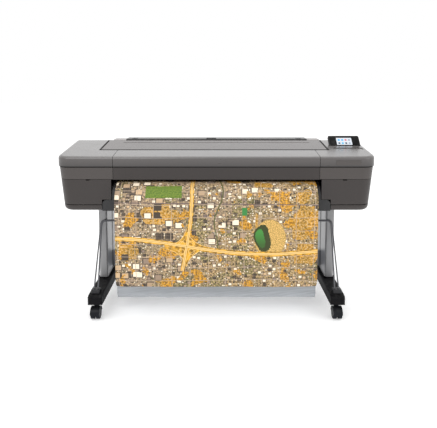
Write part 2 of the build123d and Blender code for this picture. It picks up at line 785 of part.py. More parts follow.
with BuildPart() as window:
    with BuildSketch(WINDOW_PLANE):
        with BuildLine():
            Polyline(
                (WINDOW_LEFT, -WINDOW_LENGTH),
                (WINDOW_RIGHT, -WINDOW_LENGTH),
                (WINDOW_RIGHT, 0),
                (WINDOW_LEFT, 0),
                close=True,
            )
        make_face()
        fillet(vertices().group_by(Axis.Y)[0], 10)
    extrude(amount=-WINDOW_T)
    with BuildSketch(WINDOW_PLANE):
        with Locations((0, -28)):
            Rectangle(1180, 2.0)
    extrude(amount=-1.2, mode=Mode.SUBTRACT)
    for knuckle_x in WINDOW_KNUCKLES:
        y, z = WINDOW_HINGE
        x0 = knuckle_x - WINDOW_KNUCKLE_HALF
        x1 = knuckle_x + WINDOW_KNUCKLE_HALF
        block(x0, x1, y - KNUCKLE_R, y + KNUCKLE_R, z, z + 6)
        rod_x(x0, x1, y, z, KNUCKLE_R)
        rod_x(x0 - 1, x1 + 1, y, z, PIN_R + RUNNING_FIT, mode=Mode.SUBTRACT)
save(window, "window")

with BuildPart() as window_hinge_bar:
    y, z = WINDOW_HINGE
    block(-618, 618, y - 10, y + 6, z - 14, z - 8)
    for knuckle_x in WINDOW_KNUCKLES:
        for ear_x in (knuckle_x - 14, knuckle_x + 10):
            block(ear_x, ear_x + EAR_T, y - 4, y + 1, z - 9, z + 1.6)
        rod_x(knuckle_x - 13, knuckle_x + 13, y, z, PIN_R)


def roll_support(side):
    """Raised end block beside the roll bay; the spindle's end drops into its bore."""
    x0, x1 = mirrored(side, EAR_INNER, EAR_OUTER)
    front_top = (EAR_FRONT_Y, EAR_TOP)
    back_top = (262, EAR_TOP)
    back = (BACK_Y - 1, 918)
    with BuildPart() as support:
        side_profile(
            (
                (EAR_FRONT_Y, 900),
                front_top,
                back_top,
                back,
                (BACK_Y - 1, GROOVE_HIGH),
                (270, GROOVE_HIGH),
            ),
            x0,
            x1,
            rounds=((back_top, 24), (back, 24), (front_top, 8)),
        )
        hollow0, hollow1 = mirrored(side, EAR_INNER + 6, EAR_OUTER - 3)
        block(hollow0, hollow1, ROLL_BAY_Y + 6, 262, 850, 940, mode=Mode.SUBTRACT)
        rod_x(x0 - 1, x1 + 1, ROLL_Y, ROLL_Z, 17, mode=Mode.SUBTRACT)
    return support.part


save_group([roll_support(-1), roll_support(1)], "roll_supports")

COVER_HALF = 581.5
COVER_HINGE = (292.0, 866.0)
COVER_KNUCKLES = (-480, -160, 160, 480)
COVER_KNUCKLE_HALF = 10.0
COVER_TOP = EAR_TOP + 2
COVER_BACK_Y = BACK_Y + 2
COVER_BEND_Y = 264.0
COVER_BEND_Z = 918.0
COVER_ROUND = 26.0

with BuildPart() as roll_cover:
    side_profile(
        (
            (EAR_FRONT_Y, COVER_TOP - 20),
            (EAR_FRONT_Y, COVER_TOP),
            (COVER_BEND_Y, COVER_TOP),
            (COVER_BACK_Y, COVER_BEND_Z),
            (COVER_BACK_Y, GROOVE_HIGH + 1),
            (COVER_BACK_Y - WALL, GROOVE_HIGH + 1),
            (COVER_BACK_Y - WALL, COVER_BEND_Z - 1),
            (COVER_BEND_Y - 1.5, COVER_TOP - WALL),
            (EAR_FRONT_Y + WALL, COVER_TOP - WALL),
            (EAR_FRONT_Y + WALL, COVER_TOP - 20),
        ),
        -COVER_HALF,
        COVER_HALF,
        rounds=(
            ((COVER_BEND_Y, COVER_TOP), COVER_ROUND),
            ((COVER_BACK_Y, COVER_BEND_Z), COVER_ROUND),
            ((COVER_BEND_Y - 1.5, COVER_TOP - WALL), COVER_ROUND - WALL),
            ((COVER_BACK_Y - WALL, COVER_BEND_Z - 1), COVER_ROUND - WALL),
        ),
    )
    for knuckle_x in COVER_KNUCKLES:
        y, z = COVER_HINGE
        x0 = knuckle_x - COVER_KNUCKLE_HALF
        x1 = knuckle_x + COVER_KNUCKLE_HALF
        block(x0, x1, y, BACK_Y, z - KNUCKLE_R, z + KNUCKLE_R)
        rod_x(x0, x1, y, z, KNUCKLE_R)
        rod_x(x0 - 1, x1 + 1, y, z, PIN_R + RUNNING_FIT, mode=Mode.SUBTRACT)
    for rib_x in (-CENTRE_HALF + 6, -290, 0, 290, CENTRE_HALF - 8):
        block(rib_x, rib_x + 2, EAR_FRONT_Y + 2, 258, COVER_TOP - 10, COVER_TOP - 2)
save(roll_cover, "roll_cover")

with BuildPart() as cover_hinge_bar:
    y, z = COVER_HINGE
    block(-578, 578, y - 8, y - 5.5, 846, z + 3)
    for knuckle_x in COVER_KNUCKLES:
        for ear_x in (knuckle_x - 15, knuckle_x + 11):
            block(ear_x, ear_x + EAR_T, y - 6, y + 3, z - 3, z + 3)
        rod_x(knuckle_x - 14, knuckle_x + 14, y, z, PIN_R)
save_group([window_hinge_bar.part, cover_hinge_bar.part], "lid_hinges")

with BuildPart() as cover_latch:
    block(-66, -4, ROLL_BAY_Y + 16, ROLL_BAY_Y + 62, COVER_TOP, COVER_TOP + 4)
    fillet(edges().filter_by(Axis.Z), 6)
    fillet(edges().group_by(Axis.Z)[-1], 1.5)
save(cover_latch, "cover_latch")

with BuildPart() as nameplate:
    block(671, 809, FRONT_Y - 1.6, FRONT_Y, 868, 895)
    fillet(edges().filter_by(Axis.Y), 3)
save(nameplate, "nameplate")

# ---------------------------------------------------------------- touch screen
with BuildPart() as screen_housing:
    with BuildSketch(SCREEN_PLANE):
        RectangleRounded(SCREEN_W, SCREEN_L, 9)
    extrude(amount=-SCREEN_T)
    with BuildSketch(SCREEN_PLANE):
        RectangleRounded(SCREEN_W - 12, SCREEN_L - 12, 6)
    extrude(amount=-2, mode=Mode.SUBTRACT)
save(screen_housing, "screen_housing")

with BuildPart() as screen_glass:
    with BuildSketch(SCREEN_PLANE.offset(-2)):
        RectangleRounded(SCREEN_W - 12.4, SCREEN_L - 12.4, 5.8)
    extrude(amount=1.6)
save(screen_glass, "screen_glass")

POD_TOP = SCREEN_PLANE.offset(-SCREEN_T)
with BuildPart() as screen_pod:
    block(SCREEN_X - 86, SCREEN_X + 86, -26, 66, 900, 1010)
    fillet(edges().filter_by(Axis.Z), 14)
    with BuildSketch(POD_TOP):
        Rectangle(400, 400)
    extrude(amount=200, mode=Mode.SUBTRACT)
    add(upper_hull(0), mode=Mode.SUBTRACT)
save(screen_pod, "screen_pod")


# ---------------------------------------------------------------- chassis
PLATE_T = 3.0
FOOTING_Z = BASE_Z + WALL  # inside floor of the base pan
SADDLE_Z = FOOTING_Z + PLATE_T + 1
FEED_Y = 96.0
FEED_Z = PLATEN_Z - 22.0
FEED_SHAFT_R = 8.0
SPINDLE_R = 10.0
RAIL_FRONT = 76.0
RAIL_LOW = 842.0
RAIL_H = 56.0
BEAM_FRONT = -60.0
BEAM_BACK = 60.0
BEAM_LOW = 660.0
BEAM_TOP = 730.0


def inner_plate(side):
    """Pressed-steel chassis plate carrying the platen, feed roller and roll spindle."""
    x = side * INNER_PLATE_X
    x0, x1 = sorted((x, x + side * PLATE_T))
    with BuildPart() as plate:
        side_profile(
            (
                (-170, 609),
                (268, 609),
                (258, 840),
                (250, 905),
                (164, 905),
                (164, 800),
                (118, 756),
                (-170, 756),
            ),
            x0,
            x1,
        )
        rod_x(x0 - 1, x1 + 1, FEED_Y, FEED_Z, FEED_SHAFT_R + RUNNING_FIT, mode=Mode.SUBTRACT)
        rod_x(x0 - 1, x1 + 1, ROLL_Y, ROLL_Z, SPINDLE_R + RUNNING_FIT, mode=Mode.SUBTRACT)
        foot_x0, foot_x1 = sorted((x, x + side * 22))
        block(foot_x0, foot_x1, -120, 260, FOOTING_Z, FOOTING_Z + PLATE_T)
        block(x0, x1, -120, 260, FOOTING_Z, SADDLE_Z)
    return plate.part


def end_plate(side):
    """Outer chassis plate that carries one end of the carriage rail."""
    x = side * END_PLATE_X
    x0, x1 = sorted((x - side * PLATE_T, x))
    with BuildPart() as plate:
        side_profile(
            (
                (-60, SADDLE_Z),
                (220, SADDLE_Z),
                (220, 700),
                (130, RAIL_LOW - 2),
                (130, 905),
                (60, 905),
                (60, RAIL_LOW - 2),
                (-60, 700),
            ),
            x0,
            x1,
        )
        flange0, flange1 = sorted((x - side * 25, x))
        block(flange0, flange1, -60, 220, FOOTING_Z, SADDLE_Z)
    return plate.part


with BuildPart() as main_beam:
    block(-INNER_PLATE_X, INNER_PLATE_X, BEAM_FRONT, BEAM_BACK, BEAM_LOW, BEAM_TOP)
    cut_away(y0=BEAM_FRONT + 4, y1=BEAM_BACK - 4, z0=BEAM_LOW + 4, z1=BEAM_TOP - 4)
save_group(
    [inner_plate(-1), inner_plate(1), end_plate(-1), end_plate(1), main_beam.part],
    "chassis_frame",
)

PLATEN_HALF = 615.0
PLATEN_T = 8.0

with BuildPart() as platen:
    block(-PLATEN_HALF, PLATEN_HALF, -148, RAIL_FRONT, PLATEN_Z - PLATEN_T, PLATEN_Z)
    for rib_x in range(-600, 601, 100):
        block(rib_x - 2, rib_x + 2, BEAM_FRONT, BEAM_BACK, BEAM_TOP, PLATEN_Z - PLATEN_T)
    for slot_x in range(-580, 581, 20):
        cut_away(slot_x - 1.5, slot_x + 1.5, -70, 0, PLATEN_Z - 2)
save(platen, "platen")

ROLLER_BANDS = [band * 105.0 for band in range(-5, 6)]  # middles of the grip bands

with BuildPart() as feed_roller:
    rod_x(-600, 600, FEED_Y, FEED_Z, 15)
    rod_x(-645, 645, FEED_Y, FEED_Z, FEED_SHAFT_R)
    for band_x in ROLLER_BANDS:
        rod_x(band_x - 22, band_x + 22, FEED_Y, FEED_Z, 21.8)
save(feed_roller, "feed_roller")

GEAR_X = 646.0
GEAR_MODULE = 1.5
GEAR_W = 10.0
TOOTH = ((-0.5, -0.27), (0.5, -0.12), (0.5, 0.12), (-0.5, 0.27))  # root or tip, share of a pitch


def spur_gear(x, y, z, teeth, width, bore, turn):
    """Straight-cut gear along X with simple trapezoid teeth."""
    root = GEAR_MODULE * (teeth - 2.6) / 2
    tip = GEAR_MODULE * (teeth + 1.8) / 2
    rod_x(x, x + width, y, z, root)
    step = 360.0 / teeth
    with BuildSketch(Plane.YZ.offset(x)) as ring:
        for tooth in range(teeth):
            angle = turn + tooth * step
            with BuildLine():
                corners = []
                for level, share in TOOTH:
                    radius = tip if level > 0 else root + level
                    a = math.radians(angle + share * step)
                    corners.append((y + radius * math.cos(a), z + radius * math.sin(a)))
                Polyline(*corners, close=True)
            make_face()
    extrude(ring.sketch, amount=width)
    rod_x(x - 1, x + width + 1, y, z, bore, mode=Mode.SUBTRACT)


FEED_TEETH = 40
PINION_TEETH = 16
PINION_Y = FEED_Y + GEAR_MODULE * (FEED_TEETH + PINION_TEETH) / 2
PINION_SHAFT_R = 3.0
MOTOR_HALF = 28.0

with BuildPart() as feed_gear:
    spur_gear(GEAR_X - 6, FEED_Y, FEED_Z, FEED_TEETH, GEAR_W, FEED_SHAFT_R, 0.0)
    rod_x(GEAR_X - 1, GEAR_X + 4, FEED_Y, FEED_Z, 14)
    rod_x(GEAR_X - 7, GEAR_X + 5, FEED_Y, FEED_Z, FEED_SHAFT_R, mode=Mode.SUBTRACT)
save(feed_gear, "feed_gear")

with BuildPart() as feed_pinion:
    half_pitch = 180.0 / PINION_TEETH
    spur_gear(GEAR_X - 6, PINION_Y, FEED_Z, PINION_TEETH, GEAR_W, 2.5, half_pitch)
    rod_x(GEAR_X - 10, GEAR_X + 22, PINION_Y, FEED_Z, PINION_SHAFT_R)
save(feed_pinion, "feed_pinion")

with BuildPart() as feed_motor:
    across = (PINION_Y - MOTOR_HALF, PINION_Y + MOTOR_HALF)
    block(GEAR_X + 14, GEAR_X + 70, *across, FEED_Z - MOTOR_HALF, FEED_Z + MOTOR_HALF)
    fillet(edges().filter_by(Axis.X), 5)
    shaft_bore = PINION_SHAFT_R + RUNNING_FIT
    rod_x(GEAR_X + 13, GEAR_X + 30, PINION_Y, FEED_Z, shaft_bore, mode=Mode.SUBTRACT)
    block(GEAR_X + 20, GEAR_X + 60, PINION_Y - 20, PINION_Y + 20, FOOTING_Z + 2, FEED_Z - 20)
    block(GEAR_X + 10, GEAR_X + 70, *across, FOOTING_Z, FOOTING_Z + PLATE_T)
save(feed_motor, "feed_motor")

PINCH_Z = PLATEN_Z + 9.3
PINCH_SHAFT_R = 2.5
PINCH_BAR_Z = 792.0
PINCH_HALF = 616.0

with BuildPart() as pinch_rollers:
    for band_x in ROLLER_BANDS:
        rod_x(band_x - 16, band_x + 16, FEED_Y, PINCH_Z, 7.5)
        rod_x(band_x - 21, band_x + 21, FEED_Y, PINCH_Z, PINCH_SHAFT_R)

with BuildPart() as pinch_frame:
    block(-PINCH_HALF, PINCH_HALF, FEED_Y - 11, FEED_Y + 11, PINCH_BAR_Z, PINCH_BAR_Z + PLATE_T)
    block(-PINCH_HALF, PINCH_HALF, FEED_Y - 1.5, FEED_Y + 1.5, PINCH_BAR_Z + 2, RAIL_LOW)
    for band_x in ROLLER_BANDS:
        for flank in (-1, 1):
            x = band_x + flank * 18.7
            block(x - 1.2, x + 1.2, FEED_Y - 5, FEED_Y + 5, PLATEN_Z + 5, PINCH_BAR_Z + 1)
            bore = PINCH_SHAFT_R + RUNNING_FIT
            rod_x(x - 2, x + 2, FEED_Y, PINCH_Z, bore, mode=Mode.SUBTRACT)
save_group([pinch_frame.part, pinch_rollers.part], "pinch_rollers")

RAIL_HALF = END_PLATE_X - PLATE_T
RAIL_BACK = 122.0
SLIDE_LOW = 864.0  # slot in the rail's front face that guides the carriage
SLIDE_TOP = 876.0

with BuildPart() as carriage_rail:
    block(-RAIL_HALF, RAIL_HALF, RAIL_FRONT, RAIL_BACK, RAIL_LOW, RAIL_LOW + RAIL_H)
    cut_away(y0=RAIL_FRONT + 6, y1=RAIL_BACK - 6, z0=RAIL_LOW + 5, z1=RAIL_LOW + RAIL_H - 5)
    cut_away(y1=RAIL_FRONT + 7, z0=SLIDE_LOW, z1=SLIDE_TOP)
save(carriage_rail, "carriage_rail")

# ---------------------------------------------------------------- carriage
CARRIAGE_X = 742.0  # parked over the service station
CARRIAGE_HALF = 88.0
CARRIAGE_LOW = 800.0
HEAD_W = 46.0
HEADS = [CARRIAGE_X - 75 + head * 52 for head in range(3)]  # left edge of each printhead's seat

with BuildPart() as carriage:
    block(
        CARRIAGE_X - CARRIAGE_HALF,
        CARRIAGE_X + CARRIAGE_HALF,
        -84,
        RAIL_FRONT - 0.4,
        CARRIAGE_LOW,
        RAIL_LOW + RAIL_H,
    )
    fillet(edges().filter_by(Axis.Z), 8)
    cut_away(CARRIAGE_X - 80, CARRIAGE_X + 80, -76, 24, CARRIAGE_LOW + 6)
    for x in HEADS:
        cut_away(x, x + HEAD_W, -70, 20)
    slide = (RAIL_FRONT - 2, RAIL_FRONT + 5.7, SLIDE_LOW + 0.3, SLIDE_TOP - 0.3)
    block(CARRIAGE_X - 70, CARRIAGE_X + 70, *slide)
save(carriage, "carriage")

with BuildPart() as printheads:
    for x in HEADS:
        block(x + 1, x + HEAD_W - 1, -69, 19, 774, 884)
        block(x + 6, x + HEAD_W - 6, -60, 10, 771.5, 775)
save(printheads, "printheads")

# ---------------------------------------------------------------- ink system
STATION_FLOOR = 700.0
CAP_TOP = 764.0

with BuildPart() as service_station:
    block(652, 832, -110, 60, 640, 752)
    fillet(edges().filter_by(Axis.Z), 6)
    cut_away(660, 824, -100, 50, STATION_FLOOR)
    for x in HEADS:
        block(x + 2, x + HEAD_W - 2, -66, 16, STATION_FLOOR - 1, CAP_TOP)
        block(x + 6, x + HEAD_W - 6, -60, 10, CAP_TOP - 4, CAP_TOP + 2, mode=Mode.SUBTRACT)
    block(680, 804, -90, 40, FOOTING_Z, 641)
save(service_station, "service_station")

BAY_Y = -224.0
BAY_SLOTS = (664.0, 704.0, 744.0)
CARTRIDGE_W = 34.0
CARTRIDGE_LOW = 660.0
CARTRIDGE_TOP = 744.0


def ink_cartridges(side):
    """Row of ink cartridges lying front to back behind the ink door."""
    with BuildPart() as row:
        for slot in BAY_SLOTS:
            x0, x1 = mirrored(side, slot, slot + CARTRIDGE_W)
            block(x0, x1, BAY_Y, BAY_Y + 100, CARTRIDGE_LOW, CARTRIDGE_TOP)
        fillet(edges().filter_by(Axis.Y), 3)
    return row.part


def cartridge_bay(side):
    """Open-fronted rack that the cartridges slide into."""
    x0, x1 = mirrored(side, 654, 790)
    with BuildPart() as rack:
        block(x0, x1, BAY_Y + 6, BAY_Y + 108, 654, 752)
        for slot in BAY_SLOTS:
            s0, s1 = mirrored(side, slot - 0.8, slot + CARTRIDGE_W + 0.8)
            cut_away(s0, s1, BAY_Y, BAY_Y + 101, CARTRIDGE_LOW - 0.5, CARTRIDGE_TOP + 1)
        block(x0 + 20, x1 - 20, BAY_Y + 20, BAY_Y + 100, FOOTING_Z, 655)
    return rack.part


save_group([ink_cartridges(-1), ink_cartridges(1)], "ink_cartridges")
save_group([cartridge_bay(-1), cartridge_bay(1)], "cartridge_bays")

with BuildPart() as electronics_box:
    block(-812, -650, -60, 240, FOOTING_Z, 760)
    fillet(edges().filter_by(Axis.Z), 4)
    block(-808, -654, -56, 236, FOOTING_Z + 4, 756, mode=Mode.SUBTRACT)
    for slit in range(8):
        block(-800, -690, -30 + slit * 30, -22 + slit * 30, 750, 765, mode=Mode.SUBTRACT)
save(electronics_box, "electronics_box")

# ---------------------------------------------------------------- paper roll and sheet
CORE_R = 25.0  # hub plugs that fill the roll's cardboard core

with BuildPart() as spindle:
    rod_x(-640, 640, ROLL_Y, ROLL_Z, SPINDLE_R)
    for side in (-1, 1):
        x0, x1 = mirrored(side, 636, 650)
        rod_x(x0, x1, ROLL_Y, ROLL_Z, 16)
save(spindle, "spindle")

with BuildPart() as spindle_hubs:
    for side in (-1, 1):
        x0, x1 = mirrored(side, PAPER_HALF + 0.4, PAPER_HALF + 12)
        rod_x(x0, x1, ROLL_Y, ROLL_Z, ROLL_R + 4)
        x0, x1 = mirrored(side, PAPER_HALF - 40, PAPER_HALF + 1)
        rod_x(x0, x1, ROLL_Y, ROLL_Z, CORE_R)
    rod_x(-700, 700, ROLL_Y, ROLL_Z, SPINDLE_R, mode=Mode.SUBTRACT)
save(spindle_hubs, "spindle_hubs")

with BuildPart() as paper_roll:
    rod_x(-PAPER_HALF, PAPER_HALF, ROLL_Y, ROLL_Z, ROLL_R)
    rod_x(-PAPER_HALF - 1, PAPER_HALF + 1, ROLL_Y, ROLL_Z, CORE_R + 0.4, mode=Mode.SUBTRACT)
save(paper_roll, "paper_roll")

PAPER_Z = PLATEN_Z + 0.8
PAPER_FRONT = -336.0
PAPER_END_Z = 197.0
PAPER_BEHIND = ROLL_Y - ROLL_R - 0.8  # the sheet leaves the front of the roll

with BuildPart() as printed_sheet:
    with BuildSketch(Plane.YZ.offset(-PAPER_HALF)):
        with BuildLine():
            FilletPolyline(
                (PAPER_BEHIND, ROLL_Z - 8),
                (PAPER_BEHIND, PAPER_Z),
                (PAPER_FRONT, PAPER_Z),
                (PAPER_FRONT, PAPER_END_Z),
                radius=[34, 110],
            )
        trace(line_width=PAPER_T)
    extrude(amount=2 * PAPER_HALF)
save(printed_sheet, "printed_sheet")
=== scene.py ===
"""Looks of a floor-standing large format plotter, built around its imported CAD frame."""

import json
import logging
import math
from dataclasses import dataclass
from enum import Enum
from typing import Callable, Optional, Sequence

import bmesh
import bpy
from mathutils import Matrix, Vector, noise

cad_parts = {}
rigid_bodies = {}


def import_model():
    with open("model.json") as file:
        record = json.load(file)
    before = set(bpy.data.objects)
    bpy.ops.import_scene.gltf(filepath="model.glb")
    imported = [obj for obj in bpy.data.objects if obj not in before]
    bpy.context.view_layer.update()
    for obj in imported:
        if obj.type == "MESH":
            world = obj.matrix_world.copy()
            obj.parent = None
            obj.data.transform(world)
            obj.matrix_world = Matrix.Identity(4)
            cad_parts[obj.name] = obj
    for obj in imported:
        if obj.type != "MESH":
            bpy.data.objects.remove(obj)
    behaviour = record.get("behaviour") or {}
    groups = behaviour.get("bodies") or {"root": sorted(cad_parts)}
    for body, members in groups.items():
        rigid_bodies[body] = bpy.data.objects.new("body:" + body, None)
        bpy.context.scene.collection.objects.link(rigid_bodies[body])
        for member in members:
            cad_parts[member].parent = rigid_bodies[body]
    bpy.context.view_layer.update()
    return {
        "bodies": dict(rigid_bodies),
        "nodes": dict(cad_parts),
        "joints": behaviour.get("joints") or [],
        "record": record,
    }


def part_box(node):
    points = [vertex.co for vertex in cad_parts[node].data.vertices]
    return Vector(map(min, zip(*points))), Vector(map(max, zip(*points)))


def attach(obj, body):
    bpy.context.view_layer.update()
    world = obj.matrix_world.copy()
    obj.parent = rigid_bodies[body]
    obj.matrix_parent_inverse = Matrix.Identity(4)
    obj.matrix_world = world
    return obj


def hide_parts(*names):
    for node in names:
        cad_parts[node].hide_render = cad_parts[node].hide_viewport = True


LOG = logging.getLogger("plotter")
Point = tuple[float, float, float]
Rgb = tuple[float, float, float]
Tree = bpy.types.NodeTree
Socket = bpy.types.NodeSocket
Sockets = dict[str, Socket]
Mesh = bmesh.types.BMesh


class Body(Enum):
    """CAD bodies that pieces ride on."""

    MACHINE = "machine"
    WINDOW = "window_lid"
    ROLL_LID = "roll_lid"
    CARRIAGE = "print_carriage"
    WHEELS_LEFT_FRONT = "wheels_left_front"
    WHEELS_LEFT_BACK = "wheels_left_back"
    WHEELS_RIGHT_FRONT = "wheels_right_front"
    WHEELS_RIGHT_BACK = "wheels_right_back"


class Side(Enum):
    """Left or right half of the machine, seen by its user."""

    LEFT = -1
    RIGHT = 1

    @property
    def word(self) -> str:
        """Lower-case name used in node names."""
        return self.name.lower()


# ------------------------------------------------------------------ shader fields
class Field:
    """A shader value that can be used in plain arithmetic."""

    def __init__(self, tree: Tree, socket: Socket) -> None:
        """Wrap one output socket of a tree."""
        self.tree = tree
        self.socket = socket

    def node(self, operation: str, *others: object, clamp: bool = False) -> "Field":
        """Add one Math node.

        Args:
            operation: Name of the Math node's operation.
            others: Second and third operands, numbers or fields.
            clamp: Whether the result is kept from 0 to 1.

        Returns:
            The field that the node puts out.
        """
        node = self.tree.nodes.new("ShaderNodeMath")
        node.operation = operation
        node.use_clamp = clamp
        for index, value in enumerate((self, *others)):
            if isinstance(value, Field):
                self.tree.links.new(value.socket, node.inputs[index])
            else:
                node.inputs[index].default_value = float(value)
        return Field(self.tree, node.outputs[0])

    def __add__(self, other: object) -> "Field":
        """Sum."""
        return self.node("ADD", other)

    def __sub__(self, other: object) -> "Field":
        """Difference."""
        return self.node("SUBTRACT", other)

    def __mul__(self, other: object) -> "Field":
        """Product."""
        return self.node("MULTIPLY", other)

    def __truediv__(self, other: object) -> "Field":
        """Quotient."""
        return self.node("DIVIDE", other)

    def below(self, limit: object) -> "Field":
        """1 where the value is under the limit."""
        return self.node("LESS_THAN", limit)

    def above(self, limit: object) -> "Field":
        """1 where the value is over the limit."""
        return self.node("GREATER_THAN", limit)

    def size(self) -> "Field":
        """Absolute value."""
        return self.node("ABSOLUTE")

    def sine(self) -> "Field":
        """Sine of the value in radians."""
        return self.node("SINE")

    def root(self) -> "Field":
        """Square root."""
        return self.node("SQRT")

    def wrap(self, span: float) -> "Field":
        """Position inside a repeating span."""
        return self.node("FLOORED_MODULO", span)

    def greater(self, other: object) -> "Field":
        """Larger of two values."""
        return self.node("MAXIMUM", other)

    def ramp(self, low: float, high: float) -> "Field":
        """Rise from 0 at low to 1 at high, clamped."""
        return (self - low).node("DIVIDE", high - low, clamp=True)


def mix_colour(
    tree: Tree,
    amount: Field,
    first: object,
    second: object,
) -> Socket:
    """Blend two colours.

    Args:
        tree: Tree that gets the node.
        amount: 0 gives the first colour and 1 the second.
        first: Colour tuple or socket.
        second: Colour tuple or socket.

    Returns:
        The blended colour's socket.
    """
    node = tree.nodes.new("ShaderNodeMix")
    node.data_type = "RGBA"
    tree.links.new(amount.socket, node.inputs[0])
    for index, value in ((6, first), (7, second)):
        if isinstance(value, Socket):
            tree.links.new(value, node.inputs[index])
        else:
            node.inputs[index].default_value = (*value, 1.0)
    return node.outputs[2]


def noise_field(
    tree: Tree,
    place: Socket,
    scale: float,
    detail: float = 2.0,
) -> Field:
    """Noise value at a place.

    Args:
        tree: Tree that gets the node.
        place: Vector socket to sample at.
        scale: Bumps per metre, roughly.
        detail: Number of finer layers.

    Returns:
        A field from 0 to 1.
    """
    node = tree.nodes.new("ShaderNodeTexNoise")
    node.inputs["Scale"].default_value = scale
    node.inputs["Detail"].default_value = detail
    tree.links.new(place, node.inputs["Vector"])
    return Field(tree, node.outputs["Fac"])


def stretched(tree: Tree, place: Socket, scale: Point) -> Socket:
    """Scale a place differently along each axis.

    Args:
        tree: Tree that gets the node.
        place: Vector socket to scale.
        scale: Factor along each axis.

    Returns:
        The scaled place's socket.
    """
    node = tree.nodes.new("ShaderNodeMapping")
    node.inputs["Scale"].default_value = scale
    tree.links.new(place, node.inputs["Vector"])
    return node.outputs["Vector"]


def split(tree: Tree, place: Socket) -> tuple[Field, Field, Field]:
    """Take a vector apart.

    Args:
        tree: Tree that gets the node.
        place: Vector socket.

    Returns:
        Its X, Y and Z as fields.
    """
    node = tree.nodes.new("ShaderNodeSeparateXYZ")
    tree.links.new(place, node.inputs[0])
    return tuple(Field(tree, out) for out in node.outputs)


def shaded(tree: Tree, colour: Socket, tone: Field) -> Socket:
    """Make a colour lighter or darker.

    Args:
        tree: Tree that gets the node.
        colour: Colour socket.
        tone: Factor, where 1 leaves the colour as it is.

    Returns:
        The new colour's socket.
    """
    node = tree.nodes.new("ShaderNodeVectorMath")
    node.operation = "SCALE"
    tree.links.new(colour, node.inputs[0])
    tree.links.new(tone.socket, node.inputs["Scale"])
    return node.outputs[0]


def object_place(tree: Tree) -> Socket:
    """Place of a surface point in metres, in the machine's own frame."""
    return tree.nodes.new("ShaderNodeTexCoord").outputs["Object"]


def make_group(
    name: str,
    inputs: Sequence[tuple[str, str, object]],
    outputs: Sequence[tuple[str, str]],
    fill: Callable[[Tree, Sockets], Sockets],
) -> Tree:
    """Build one shader node group.

    Args:
        name: Name of the group.
        inputs: Name, socket type and default of each input.
        outputs: Name and socket type of each output.
        fill: Makes the inner nodes from the input sockets and returns the output sockets.

    Returns:
        The finished group.
    """
    tree = bpy.data.node_groups.new(name, "ShaderNodeTree")
    for label, kind, default in inputs:
        socket = tree.interface.new_socket(name=label, in_out="INPUT", socket_type=kind)
        if default is not None:
            socket.default_value = default
    for label, kind in outputs:
        tree.interface.new_socket(name=label, in_out="OUTPUT", socket_type=kind)
    entry = tree.nodes.new("NodeGroupInput")
    leave = tree.nodes.new("NodeGroupOutput")
    found = fill(tree, {label: entry.outputs[label] for label, _, _ in inputs})
    for label, socket in found.items():
        tree.links.new(socket, leave.inputs[label])
    return tree


DUST = (0.5, 0.49, 0.47)
# Painted shade along the lower edge of a moulding: these two heights set how far up it reaches.
EDGE_RISE = 0.045  # height over which a moulding's lower edge brightens
RIM_RISE = 0.008  # height of the darkest line at that edge
THREAD = 0.0011  # pitch of the cloth's threads


def fill_moulding(tree: Tree, sockets: Sockets) -> Sockets:
    """Spark-eroded grain, slow tone drift, painted shade that darkens the lower edge and a trace of dust.

    Args:
        tree: Tree of the group.
        sockets: The group's inputs; one of them gives the height of the lower edge, where the painted shade
            is darkest.

    Returns:
        The group's outputs; Top is a mask of the faces that look up.
    """
    place = object_place(tree)
    grain = tree.nodes.new("ShaderNodeTexNoise")
    tree.links.new(place, grain.inputs["Vector"])
    tree.links.new(sockets["Grain"], grain.inputs["Scale"])
    grain.inputs["Detail"].default_value = 3.0
    drift = noise_field(tree, place, 3.0, 3.0)
    smear = noise_field(tree, stretched(tree, place, (1.0, 1.0, 4.0)), 14.0, 4.0)
    _, _, up = split(tree, tree.nodes.new("ShaderNodeTexCoord").outputs["Normal"])
    dust = up.ramp(0.3, 1.0) * noise_field(tree, place, 35.0, 5.0).ramp(0.35, 0.75)
    _, _, height = split(tree, place)
    # Painted shade: the colour darkens towards the lower edge and is darkest in a thin line right at it.
    above_edge = height - Field(tree, sockets["Fade"])
    lift = above_edge.ramp(0.0, EDGE_RISE) * 0.45 + 0.55
    rim = above_edge.ramp(0.0, RIM_RISE) * 0.6 + 0.4
    tone = ((drift - 0.5) * Field(tree, sockets["Spread"]) + 1.0) * lift * rim
    rough = Field(tree, sockets["Rough"]) + (smear - 0.5) * 0.14 + dust * 0.05
    colour = mix_colour(tree, dust * 0.05, shaded(tree, sockets["Colour"], tone), DUST)
    top = up.ramp(0.12, 0.75) * 0.85 + 0.15
    return {
        "Colour": colour,
        "Rough": rough.socket,
        "Height": grain.outputs["Fac"],
        "Top": top.socket,
    }


def fill_brushing(tree: Tree, sockets: Sockets) -> Sockets:
    """Long fine scratches along X with a slow tone drift.

    Args:
        tree: Tree of the group.
        sockets: The group's inputs.

    Returns:
        The group's outputs except Top.
    """
    place = object_place(tree)
    lines = noise_field(tree, stretched(tree, place, (0.02, 1.0, 1.0)), 900.0, 3.0)
    drift = noise_field(tree, place, 9.0, 3.0)
    tone = (lines - 0.5) * 0.22 + (drift - 0.5) * 0.12 + 1.0
    rough = Field(tree, sockets["Rough"]) + (lines - 0.5) * 0.2
    colour = shaded(tree, sockets["Colour"], tone)
    return {"Colour": colour, "Rough": rough.socket, "Height": lines.socket}


